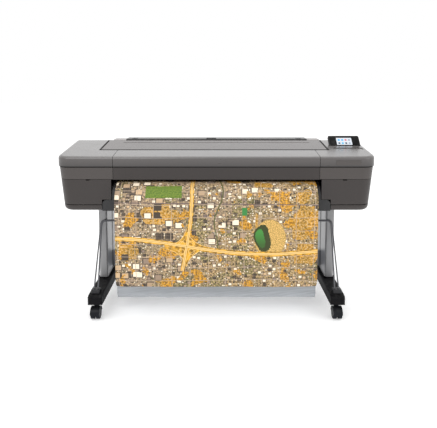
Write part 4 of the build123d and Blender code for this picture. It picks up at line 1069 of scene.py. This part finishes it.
# ------------------------------------------------------------------ sub-assemblies
@dataclass
class Casings:
    """Outside covers: shells, doors, window, roll cover and their small trim."""

    kit: Kit
    # Sizes of the window's dark strips; the side strips are painted shade of the gaps beside the window.
    seal_width: float = 0.005
    front_seal_width: float = 0.013
    seal_height: float = 0.0014
    step_size: tuple[float, float] = (1.17, 0.052)
    step_inset: float = 0.040
    screw_radius: float = 0.0042
    screw_tip: float = 0.0032
    screw_head: float = 0.0016
    screws_per_row: int = 7
    screw_inset: tuple[float, float] = (0.020, 0.012)
    grip_ribs: int = 5
    grip_start: float = 0.545
    grip_pitch: float = 0.007
    grip_half: float = 0.0015
    top_rise: float = 0.047
    top_run: float = 0.412
    liner_steps: int = 8
    liner_thickness: float = 0.0008
    liner_half: float = 0.8890
    liner_front: float = -0.2505
    liner_back: float = 0.2900
    liner_gap: float = 0.670
    liner_low: float = 0.8485
    liner_high: float = 0.8630

    def build(self) -> None:
        """Dress the covers and add their trim."""
        self.kit.dress(
            "left_end_cap", "right_end_cap", "front_cover",
            "left_ink_door", "right_ink_door", "front_lower_panel", "base_pan", "rear_cover",
            "roll_cover", "cover_latch", "exit_guide", "window",
            "power_inlet", "power_switch", "door_hinges", "lid_hinges", "nameplate",
        )
        # The side covers take the lighter charcoal copy, painted light for their brighter band.
        self.kit.dress("left_side_cover", "right_side_cover", finish="band_charcoal")
        # The roll supports' pale finish is partly a painted highlight.
        self.kit.dress("roll_supports", finish="ear_pale")
        self.window_trim()
        self.groove_liner()
        self.rear_screws()
        self.roll_cover_trim()

    def window_trim(self) -> None:
        """Dark strip along the window's front edge, black strips at its sides that paint in the shade of the
        gaps there, and a raised step along its back.
        """
        low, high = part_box("window")
        slope = math.atan2(self.top_rise, self.top_run)
        turn = Matrix.Rotation(slope, 4, "X")
        centre_x = (low.x + high.x) / 2
        centre_y = (low.y + high.y) / 2
        side_x = self.seal_width - 0.0005
        side_shade_size = (self.seal_width, high.y - low.y - 0.016)
        front_strip_size = (high.x - low.x - 0.010, self.front_seal_width)
        # The side strips are painted shade: black strips laid where the gaps to the end caps lie.
        for name, x, y, size, finish in (
            ("window_front_seal", centre_x, low.y + 0.009, front_strip_size, "seal_black"),
            ("window_left_seal", low.x + side_x, centre_y, side_shade_size, "seal_black"),
            ("window_right_seal", high.x - side_x, centre_y, side_shade_size, "seal_black"),
            ("window_step", 0.0, high.y - self.step_inset, self.step_size, "window_smoke"),
        ):
            level = high.z - (high.y - y) * math.tan(slope)
            place = Matrix.Translation((x, y, level - 0.0003)) @ turn
            shape = bmesh.new()
            add_plate(shape, place, *size, 0.002, self.seal_height)
            self.kit.piece(name, shape, Body.WINDOW, "window_smoke", finish)

    def groove_liner(self) -> None:
        """Matte black wall inside the groove between the upper and lower shells, open at the roll bay; its
        black paints in the shade of the groove.
        """
        plan: list[tuple[float, float]] = [(self.liner_gap, self.liner_back)]
        corners = ((self.liner_back, 0.040, 1), (self.liner_front, 0.060, 0))
        for y, radius, first_turn in corners:
            for step in range(self.liner_steps + 1):
                angle = math.pi / 2 * (first_turn - step / self.liner_steps)
                centre_y = y - math.copysign(radius, y)
                x = self.liner_half - radius + radius * math.cos(angle)
                plan.append((x, centre_y + radius * math.sin(angle)))
        shape = bmesh.new()
        for side in Side:
            lows = [shape.verts.new((side.value * x, y, self.liner_low)) for x, y in plan]
            lows.append(shape.verts.new((0.0, self.liner_front, self.liner_low)))
            highs = [shape.verts.new((v.co.x, v.co.y, self.liner_high)) for v in lows]
            for index in range(len(lows) - 1):
                shape.faces.new((lows[index], lows[index + 1], highs[index + 1], highs[index]))
        # Painted shade: the wall takes the blackest matte finish so that the groove looks shaded.
        obj = self.kit.piece(
            "groove_liner", shape, Body.MACHINE, "inner_black", "seal_black", solid=False
        )
        depth = obj.modifiers.new("liner_thickness", "SOLIDIFY")
        depth.thickness = self.liner_thickness

    def rear_screws(self) -> None:
        """Rows of screws along the rear cover's lower and upper edges."""
        low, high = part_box("rear_cover")
        shape = bmesh.new()
        inset_x, inset_z = self.screw_inset
        reach = high.x - low.x - 2 * inset_x
        for row in (low.z + inset_z, high.z - inset_z):
            for place in range(self.screws_per_row):
                x = low.x + inset_x + reach * place / (self.screws_per_row - 1)
                seat = (x, high.y - 0.0002, row)
                head = (x, high.y + self.screw_head, row)
                add_drum(shape, seat, head, self.screw_radius, 24, self.screw_tip)
        self.kit.piece("rear_cover_screws", shape, Body.MACHINE, "bolt_black", smooth=False)

    def roll_cover_trim(self) -> None:
        """Grip ribs at both ends of the roll cover."""
        low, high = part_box("roll_cover")
        shape = bmesh.new()
        for side in Side:
            for rib in range(self.grip_ribs):
                x = side.value * (self.grip_start - rib * self.grip_pitch)
                corner = (x - self.grip_half, low.y + 0.010, high.z - 0.0004)
                opposite = (x + self.grip_half, low.y + 0.055, high.z + 0.0016)
                add_block(shape, corner, opposite)
        self.kit.piece("roll_cover_grips", shape, Body.ROLL_LID, "inner_black", bevel=0.0005)


@dataclass
class TouchPanel:
    """Tilted touch screen with a lit display and plain coloured tiles."""

    kit: Kit
    angle: float = math.radians(44.0)
    display: tuple[float, float] = (0.094, 0.055)
    tile: float = 0.0125
    face_height: float = 0.00085
    display_height: float = 0.0003
    tile_pitch: tuple[float, float] = (0.225, 0.46)  # shares of the display's width and height
    tiles_per_row: int = 4
    tile_finishes: tuple[str, ...] = (
        "tile_cyan", "tile_cyan", "tile_rose", "tile_mist",
        "tile_slate", "tile_cyan", "tile_slate", "tile_mist",
    )

    def build(self) -> None:
        """Dress the case and add the display."""
        self.kit.dress("screen_housing", "screen_glass", "screen_pod")
        low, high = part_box("screen_glass")
        turn = Matrix.Rotation(self.angle, 4, "X")
        centre = Vector(((low.x + high.x) / 2, (low.y + high.y) / 2, (low.z + high.z) / 2))
        out = turn @ Vector((0, 0, 1))
        face = Matrix.Translation(centre + out * self.face_height) @ turn
        shape = bmesh.new()
        add_plate(shape, face, *self.display, 0.0015, self.display_height)
        self.kit.piece("screen_display", shape, Body.MACHINE, "screen_face", "display_white")
        across, along = self.display
        for index, finish in enumerate(self.tile_finishes):
            row, column = divmod(index, self.tiles_per_row)
            x = (column - (self.tiles_per_row - 1) / 2) * across * self.tile_pitch[0]
            y = (0.5 - row) * along * self.tile_pitch[1] - 0.002
            shape = bmesh.new()
            place = face @ Matrix.Translation((x, y, self.display_height))
            add_plate(shape, place, self.tile, self.tile, 0.0035, 0.0002)
            self.kit.piece(f"screen_tile_{index + 1}", shape, Body.MACHINE, "screen_face", finish)


@dataclass
class PrintedSheet:
    """Printed paper that leaves the platen, curves over the exit guide and hangs."""

    kit: Kit
    half: float = 0.559
    platen_bend: float = 0.034
    exit_bend: float = 0.110
    columns: int = 57
    rows: int = 220
    thickness: float = 0.0003
    level: float = 0.7688
    curl: float = 0.012
    sway: float = 0.0022
    hang_from: float = 0.62
    hang_over: float = 0.42
    edge_share: float = 0.14
    tip_from: float = 0.235
    tip_over: float = 0.04
    platen_steps: int = 12
    exit_steps: int = 24

    def route(self) -> tuple[list[tuple[float, float]], list[float]]:
        """Side view of the sheet from the roll to its free end.

        Returns:
            Points in Y and Z, and the length along the sheet at each.
        """
        low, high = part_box("printed_sheet")
        back, front = high.y - 0.0002, low.y + 0.0002
        first = (back - self.platen_bend, self.level + self.platen_bend)
        second = (front + self.exit_bend, self.level - self.exit_bend)
        points: list[tuple[float, float]] = [(back, high.z)]
        for step in range(self.platen_steps + 1):
            angle = math.pi / 2 * step / self.platen_steps
            y = first[0] + self.platen_bend * math.cos(angle)
            points.append((y, first[1] - self.platen_bend * math.sin(angle)))
        for step in range(self.exit_steps + 1):
            angle = math.pi / 2 * step / self.exit_steps
            y = second[0] - self.exit_bend * math.sin(angle)
            points.append((y, second[1] + self.exit_bend * math.cos(angle)))
        points.append((front, low.z))
        lengths = [0.0]
        for a, b in zip(points, points[1:]):
            lengths.append(lengths[-1] + math.dist(a, b))
        return points, lengths

    def build(self) -> None:
        """Build the sheet as one thin grid with the print's coordinates."""
        points, lengths = self.route()
        total = lengths[-1]

        def along(distance: float) -> tuple[float, float]:
            """Find a point of the side view.

            Args:
                distance: Distance along the sheet.

            Returns:
                Its Y and Z.
            """
            index, share = segment_at(lengths, distance)
            a, b = points[index], points[index + 1]
            return a[0] + (b[0] - a[0]) * share, a[1] + (b[1] - a[1]) * share

        def place(row: int, column: int) -> Vector:
            """Find a point of the sheet, with its slow sway and its curled corners.

            Args:
                row: Row along the sheet.
                column: Column across it.

            Returns:
                The point.
            """
            y, z = along(total * row / (self.rows - 1))
            across = column / (self.columns - 1) * 2 - 1
            x = across * self.half
            hang = min(max((self.hang_from - z) / self.hang_over, 0.0), 1.0)
            edge = max(abs(across) - 1 + self.edge_share, 0.0) / self.edge_share
            tip = max(self.tip_from - z, 0.0) / self.tip_over
            y += hang * self.sway * math.sin(across * 7.0 + 0.6) * (1 - edge)
            y += self.curl * edge**2 * tip**1.5
            x -= math.copysign(0.0035 * edge**2 * tip**2, across)
            return Vector((x, y, z))

        shape, verts = grid_mesh(self.rows, self.columns, place)
        layer = shape.loops.layers.uv.new("sheet")
        where = {}
        for row, line in enumerate(verts):
            up = total * (1 - row / (self.rows - 1))
            for column, vert in enumerate(line):
                where[vert] = ((column / (self.columns - 1) * 2 - 1) * self.half, up)
        for face in shape.faces:
            for loop in face.loops:
                loop[layer].uv = where[loop.vert]
        obj = self.kit.piece("print_sheet", shape, Body.MACHINE, "paper_print", solid=False)
        obj.data.materials.append(self.kit.materials["paper_blank"])
        depth = obj.modifiers.new("paper_thickness", "SOLIDIFY")
        depth.thickness = self.thickness
        depth.offset = -1.0
        depth.material_offset = 1
        depth.material_offset_rim = 1
        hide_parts("printed_sheet")


@dataclass
class CatchBasket:
    """Cloth sling hung between two wire hoops in front of the columns."""

    kit: Kit
    half: float = 0.575
    thickness: float = 0.0012
    bend: float = 0.048
    hem_radius: float = 0.0062
    hem_sides: int = 20
    hem_columns: int = 160
    rear_bar: tuple[float, float] = (-0.1043, 0.507)
    front_bar: tuple[float, float] = (-0.176, 0.524)
    lowest: float = 0.0675
    columns: int = 231
    rows: int = 150
    bend_steps: int = 12
    crease: float = 0.0042
    fine_crease: float = 0.0012
    gather: float = 0.0005
    pucker: float = 0.0005
    calm_side: float = 0.1

    def profile(self) -> list[tuple[float, float]]:
        """Side view of the cloth: down from the rear bar, round the bottom and up to the front bar.

        Returns:
            Points in Y and Z.
        """
        low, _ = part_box("basket_fabric")
        corners = [
            (self.rear_bar[0] - 0.006, self.rear_bar[1]),
            (self.rear_bar[0] - 0.014, low.z + 0.001),
            (low.y + 0.001, low.z + 0.001),
            (self.front_bar[0] - 0.006, self.front_bar[1]),
        ]
        points = [corners[0]]
        for before, corner, after in zip(corners, corners[1:], corners[2:]):
            a = (Vector(before) - Vector(corner)).normalized()
            b = (Vector(after) - Vector(corner)).normalized()
            half_turn = a.angle(b) / 2
            reach = self.bend / math.tan(half_turn)
            middle = Vector(corner) + (a + b).normalized() * (self.bend / math.sin(half_turn))
            start = Vector(corner) + a * reach - middle
            end = Vector(corner) + b * reach - middle
            for step in range(self.bend_steps + 1):
                spoke = start.slerp(end, step / self.bend_steps)
                points.append(tuple(middle + spoke.normalized() * self.bend))
        points.append(corners[-1])
        return points

    def build(self) -> None:
        """Build the sling and its hems."""
        self.kit.dress("basket_hoops", "rod_clips")
        points = [Vector(p) for p in self.profile()]
        lengths = [0.0]
        for a, b in zip(points, points[1:]):
            lengths.append(lengths[-1] + (b - a).length)
        total = lengths[-1]

        def along(distance: float) -> tuple[Vector, Vector]:
            """Find a point of the side view.

            Args:
                distance: Distance from the rear hem.

            Returns:
                The point and the direction out of the cloth.
            """
            index, share = segment_at(lengths, distance)
            a, b = points[index], points[index + 1]
            run = (b - a).normalized()
            return a.lerp(b, share), Vector((run.y, -run.x))

        def place(row: int, column: int) -> Vector:
            """Find a point of the creased cloth.

            Args:
                row: Row along the cloth.
                column: Column across it.

            Returns:
                The point.
            """
            share = row / (self.rows - 1)
            at, out = along(total * share)
            x = (column / (self.columns - 1) * 2 - 1) * self.half
            pinned = min(share, 1 - share) * 8
            ease = min(pinned, 1.0)
            slant = noise.noise(Vector((x * 7.0 + at.y * 9.0, at.y * 26.0 - x * 5.0, 3.1 + share)))
            fine = noise.noise(Vector((x * 22.0 - at.y * 30.0, at.y * 60.0 + x * 16.0, 8.0)))
            gather = math.sin(x * 46.0 + noise.noise(Vector((x * 5.0, 0.0, 1.0))) * 5.0)
            lift = ease * (slant * self.crease + fine * self.fine_crease)
            lift += (1 - ease) * gather * self.gather
            side = max(abs(x) / self.half - 1 + self.calm_side, 0.0) / self.calm_side
            lift *= 1 - 0.5 * side
            return Vector((x, at.x - out.x * lift, max(at.y - out.y * lift, self.lowest)))

        shape, _ = grid_mesh(self.rows, self.columns, place)
        cloth = self.kit.piece("basket_sling", shape, Body.MACHINE, "sling_cloth", solid=False)
        depth = cloth.modifiers.new("cloth_thickness", "SOLIDIFY")
        depth.thickness = self.thickness
        depth.offset = 0.0
        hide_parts("basket_fabric")
        hems = [
            self.hem("basket_rear_hem", *self.rear_bar),
            self.hem("basket_front_hem", *self.front_bar),
        ]

    def hem(self, name: str, y: float, z: float) -> bpy.types.Object:
        """Sleeve of cloth sewn round one bar.

        Args:
            name: Name of the piece.
            y: Depth of the bar.
            z: Height of the bar.

        Returns:
            The sleeve.
        """

        def place(row: int, column: int) -> Vector:
            """Find a point of the slightly puckered sleeve.

            Args:
                row: Row round the bar.
                column: Column along it.

            Returns:
                The point.
            """
            angle = 2 * math.pi * row / self.hem_sides
            x = (column / (self.hem_columns - 1) * 2 - 1) * self.half
            wave = math.sin(x * 150.0) * math.sin(angle + x * 30.0)
            radius = self.hem_radius + self.pucker * wave
            return Vector((x, y + radius * math.cos(angle), z + radius * math.sin(angle)))

        shape, _ = grid_mesh(self.hem_sides + 1, self.hem_columns, place)
        bmesh.ops.remove_doubles(shape, verts=shape.verts, dist=1e-6)
        return self.kit.piece(name, shape, Body.MACHINE, "sling_cloth")


@dataclass
class Stand:
    """Columns, feet, brace and casters."""

    kit: Kit
    strip_depth: tuple[float, float] = (0.024, 0.048)
    skirt_margin: tuple[float, float] = (0.012, 0.014)
    skirt_corner: float = 0.016
    skirt_height: float = 0.006
    cap_radii: tuple[float, float] = (0.0205, 0.019)
    boss_radii: tuple[float, float] = (0.008, 0.0065)

    def build(self) -> None:
        """Dress the stand and add strips, skirts and hub caps."""
        self.kit.dress(
            "left_column", "right_column", "left_foot", "right_foot", "top_brackets",
            "cross_brace", "brace_bolts",
        )
        for side in Side:
            self.column_trim(side)
            for end in ("front", "back"):
                self.caster(side, end)

    def column_trim(self, side: Side) -> None:
        """Dark strip in the groove and a skirt where the column meets the foot.

        Args:
            side: Which column.
        """
        low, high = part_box(f"{side.word}_column")
        inner = low.x if side is Side.RIGHT else high.x
        step = side.value * 0.001
        shape = bmesh.new()
        x0, x1 = sorted((inner + step * 1.2, inner + step * 2.9))
        front, back = self.strip_depth
        add_block(shape, (x0, front, low.z + 0.012), (x1, back, high.z - 0.008))
        self.kit.piece(f"{side.word}_column_strip", shape, Body.MACHINE, "clip_grey", bevel=0.0004)
        _, foot_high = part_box(f"{side.word}_foot")
        shape = bmesh.new()
        middle = ((low.x + high.x) / 2, (low.y + high.y) / 2, foot_high.z + 0.0002)
        width = high.x - low.x + self.skirt_margin[0]
        length = high.y - low.y + self.skirt_margin[1]
        place = Matrix.Translation(middle)
        add_plate(shape, place, width, length, self.skirt_corner, self.skirt_height)
        self.kit.piece(f"{side.word}_column_skirt", shape, Body.MACHINE, "foot_dark", bevel=0.0015)

    def caster(self, side: Side, end: str) -> None:
        """Dress one caster and add hub caps to its wheels.

        Args:
            side: Which foot it is on.
            end: Front or back.
        """
        tail = f"{side.word}_{end}"
        self.kit.dress(f"caster_fork_{tail}", f"caster_wheels_{tail}")
        low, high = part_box(f"caster_wheels_{tail}")
        y, z = (low.y + high.y) / 2, (low.z + high.z) / 2
        shape = bmesh.new()
        cap, cap_tip = self.cap_radii
        boss, boss_tip = self.boss_radii
        for face, out in ((low.x, -1), (high.x, 1)):
            add_drum(shape, (face - out * 0.0032, y, z), (face - out * 0.0004, y, z), cap, 40, cap_tip)
            add_drum(shape, (face - out * 0.0006, y, z), (face + out * 0.0001, y, z), boss, 24, boss_tip)
        wheels = Body(f"wheels_{tail}")
        self.kit.piece(f"caster_hub_caps_{tail}", shape, wheels, "caster_black", smooth=False)


@dataclass
class PrintEngine:
    """Everything behind the covers: chassis, rollers, carriage, ink and roll."""

    kit: Kit
    inks: tuple[str, ...] = ("ink_cyan", "ink_magenta", "ink_yellow")
    belt_depth: tuple[float, float] = (0.094, 0.103)
    belt_inset: float = 0.030
    belt_runs: tuple[float, float] = (0.001, 0.012)
    belt_thickness: float = 0.0015
    first_cartridge: float = 0.681
    cartridge_pitch: float = 0.040
    first_head: float = 0.022
    head_pitch: float = 0.052
    label_height: float = 0.0008

    def build(self) -> None:
        """Dress the inner nodes and add the belt and the labels."""
        self.kit.dress(
            "chassis_frame", "platen", "feed_roller", "feed_gear", "feed_pinion", "feed_motor",
            "pinch_rollers", "carriage_rail", "carriage", "printheads", "service_station",
            "ink_cartridges", "cartridge_bays", "electronics_box", "spindle", "spindle_hubs",
            "paper_roll",
        )
        self.belt()
        self.cartridge_labels()
        self.head_labels()

    def belt(self) -> None:
        """Drive belt along the rail, round a pulley at each end."""
        low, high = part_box("carriage_rail")
        shape = bmesh.new()
        front, back = self.belt_depth
        ends = (low.x + self.belt_inset, high.x - self.belt_inset)
        for run in self.belt_runs:
            level = high.z + run
            add_block(shape, (ends[0], front, level), (ends[1], back, level + self.belt_thickness))
        axis = high.z + 0.00675
        for end_x in ends:
            add_drum(shape, (end_x, front - 0.001, axis), (end_x, back + 0.001, axis), 0.0052, 24)
        self.kit.piece("carriage_belt", shape, Body.MACHINE, "inner_black", smooth=False)

    def cartridge_labels(self) -> None:
        """Coloured front panel on each ink cartridge."""
        low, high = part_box("ink_cartridges")
        for side in Side:
            for index, ink in enumerate(self.inks):
                x = side.value * (self.first_cartridge + self.cartridge_pitch * index)
                shape = bmesh.new()
                turn = Matrix.Rotation(math.pi / 2, 4, "X")
                place = Matrix.Translation((x, low.y, (low.z + high.z) / 2 + 0.016)) @ turn
                add_plate(shape, place, 0.022, 0.030, 0.003, self.label_height)
                name = f"{side.word}_cartridge_label_{index + 1}"
                self.kit.piece(name, shape, Body.MACHINE, "cartridge_mix", ink)

    def head_labels(self) -> None:
        """Coloured strip on top of each printhead."""
        low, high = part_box("printheads")
        for index, ink in enumerate(self.inks):
            shape = bmesh.new()
            x = low.x + self.first_head + self.head_pitch * index
            place = Matrix.Translation((x, (low.y + high.y) / 2, high.z))
            add_plate(shape, place, 0.030, 0.060, 0.004, self.label_height)
            self.kit.piece(f"printhead_label_{index + 1}", shape, Body.CARRIAGE, "head_blue", ink)


@dataclass
class Studio:
    """Pale floor, soft lights and the camera."""

    kit: Kit
    place: Point = (0.0055, -2.872, 1.316)
    pitch: float = math.radians(4.93)
    lens: float = 38.9
    shift: tuple[float, float] = (0.0026, -0.203)
    floor_size: float = 30.0
    aim: Point = (0.0, 0.0, 0.6)
    # Name, place, side of the panel and watts of each light.
    lamps: tuple[tuple[str, Point, float, float], ...] = (
        ("key_panel", (-1.6, -2.4, 3.2), 2.4, 34.0),
        ("top_panel", (0.0, 0.6, 3.4), 3.0, 30.0),
        ("fill_panel", (2.6, -1.8, 1.8), 2.0, 12.0),
    )

    def build(self) -> None:
        """Set the stage."""
        scene = bpy.context.scene
        scene.view_settings.view_transform = "Standard"
        world = bpy.data.worlds.new("studio")
        world.use_nodes = True
        world.node_tree.nodes["Background"].inputs["Color"].default_value = (1.0, 1.0, 1.0, 1.0)
        world.node_tree.nodes["Background"].inputs["Strength"].default_value = 1.0
        scene.world = world
        shape = bmesh.new()
        bmesh.ops.create_grid(shape, x_segments=1, y_segments=1, size=self.floor_size)
        mesh = bpy.data.meshes.new("floor")
        shape.to_mesh(mesh)
        shape.free()
        mesh.materials.append(self.kit.materials["floor_pale"])
        floor = bpy.data.objects.new("floor", mesh)
        scene.collection.objects.link(floor)
        for lamp in self.lamps:
            self.light(*lamp)
        camera = bpy.data.cameras.new("camera")
        camera.sensor_width = 36.0
        camera.lens = self.lens
        camera.shift_x, camera.shift_y = self.shift
        camera.clip_end = 100.0
        view = bpy.data.objects.new("camera", camera)
        view.location = self.place
        view.rotation_euler = (math.pi / 2 - self.pitch, 0.0, 0.0)
        scene.collection.objects.link(view)
        scene.camera = view

    def light(self, name: str, place: Point, size: float, power: float) -> None:
        """Add one square soft light.

        Args:
            name: Name of the light.
            place: Where it hangs.
            size: Side of its panel.
            power: Watts.
        """
        lamp = bpy.data.lights.new(name, "AREA")
        lamp.size = size
        lamp.energy = power
        obj = bpy.data.objects.new(name, lamp)
        obj.location = place
        toward = Vector(self.aim) - Vector(place)
        obj.rotation_euler = toward.to_track_quat("-Z", "Y").to_euler()
        bpy.context.scene.collection.objects.link(obj)


def main() -> None:
    """Build the plotter's looks in order."""
    logging.basicConfig(level=logging.INFO, format="%(message)s")
    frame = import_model()
    kit = Kit(frame)
    for part in (Studio, Casings, TouchPanel, PrintedSheet, CatchBasket, Stand, PrintEngine):
        part(kit).build()


if __name__ == "__main__":
    main()
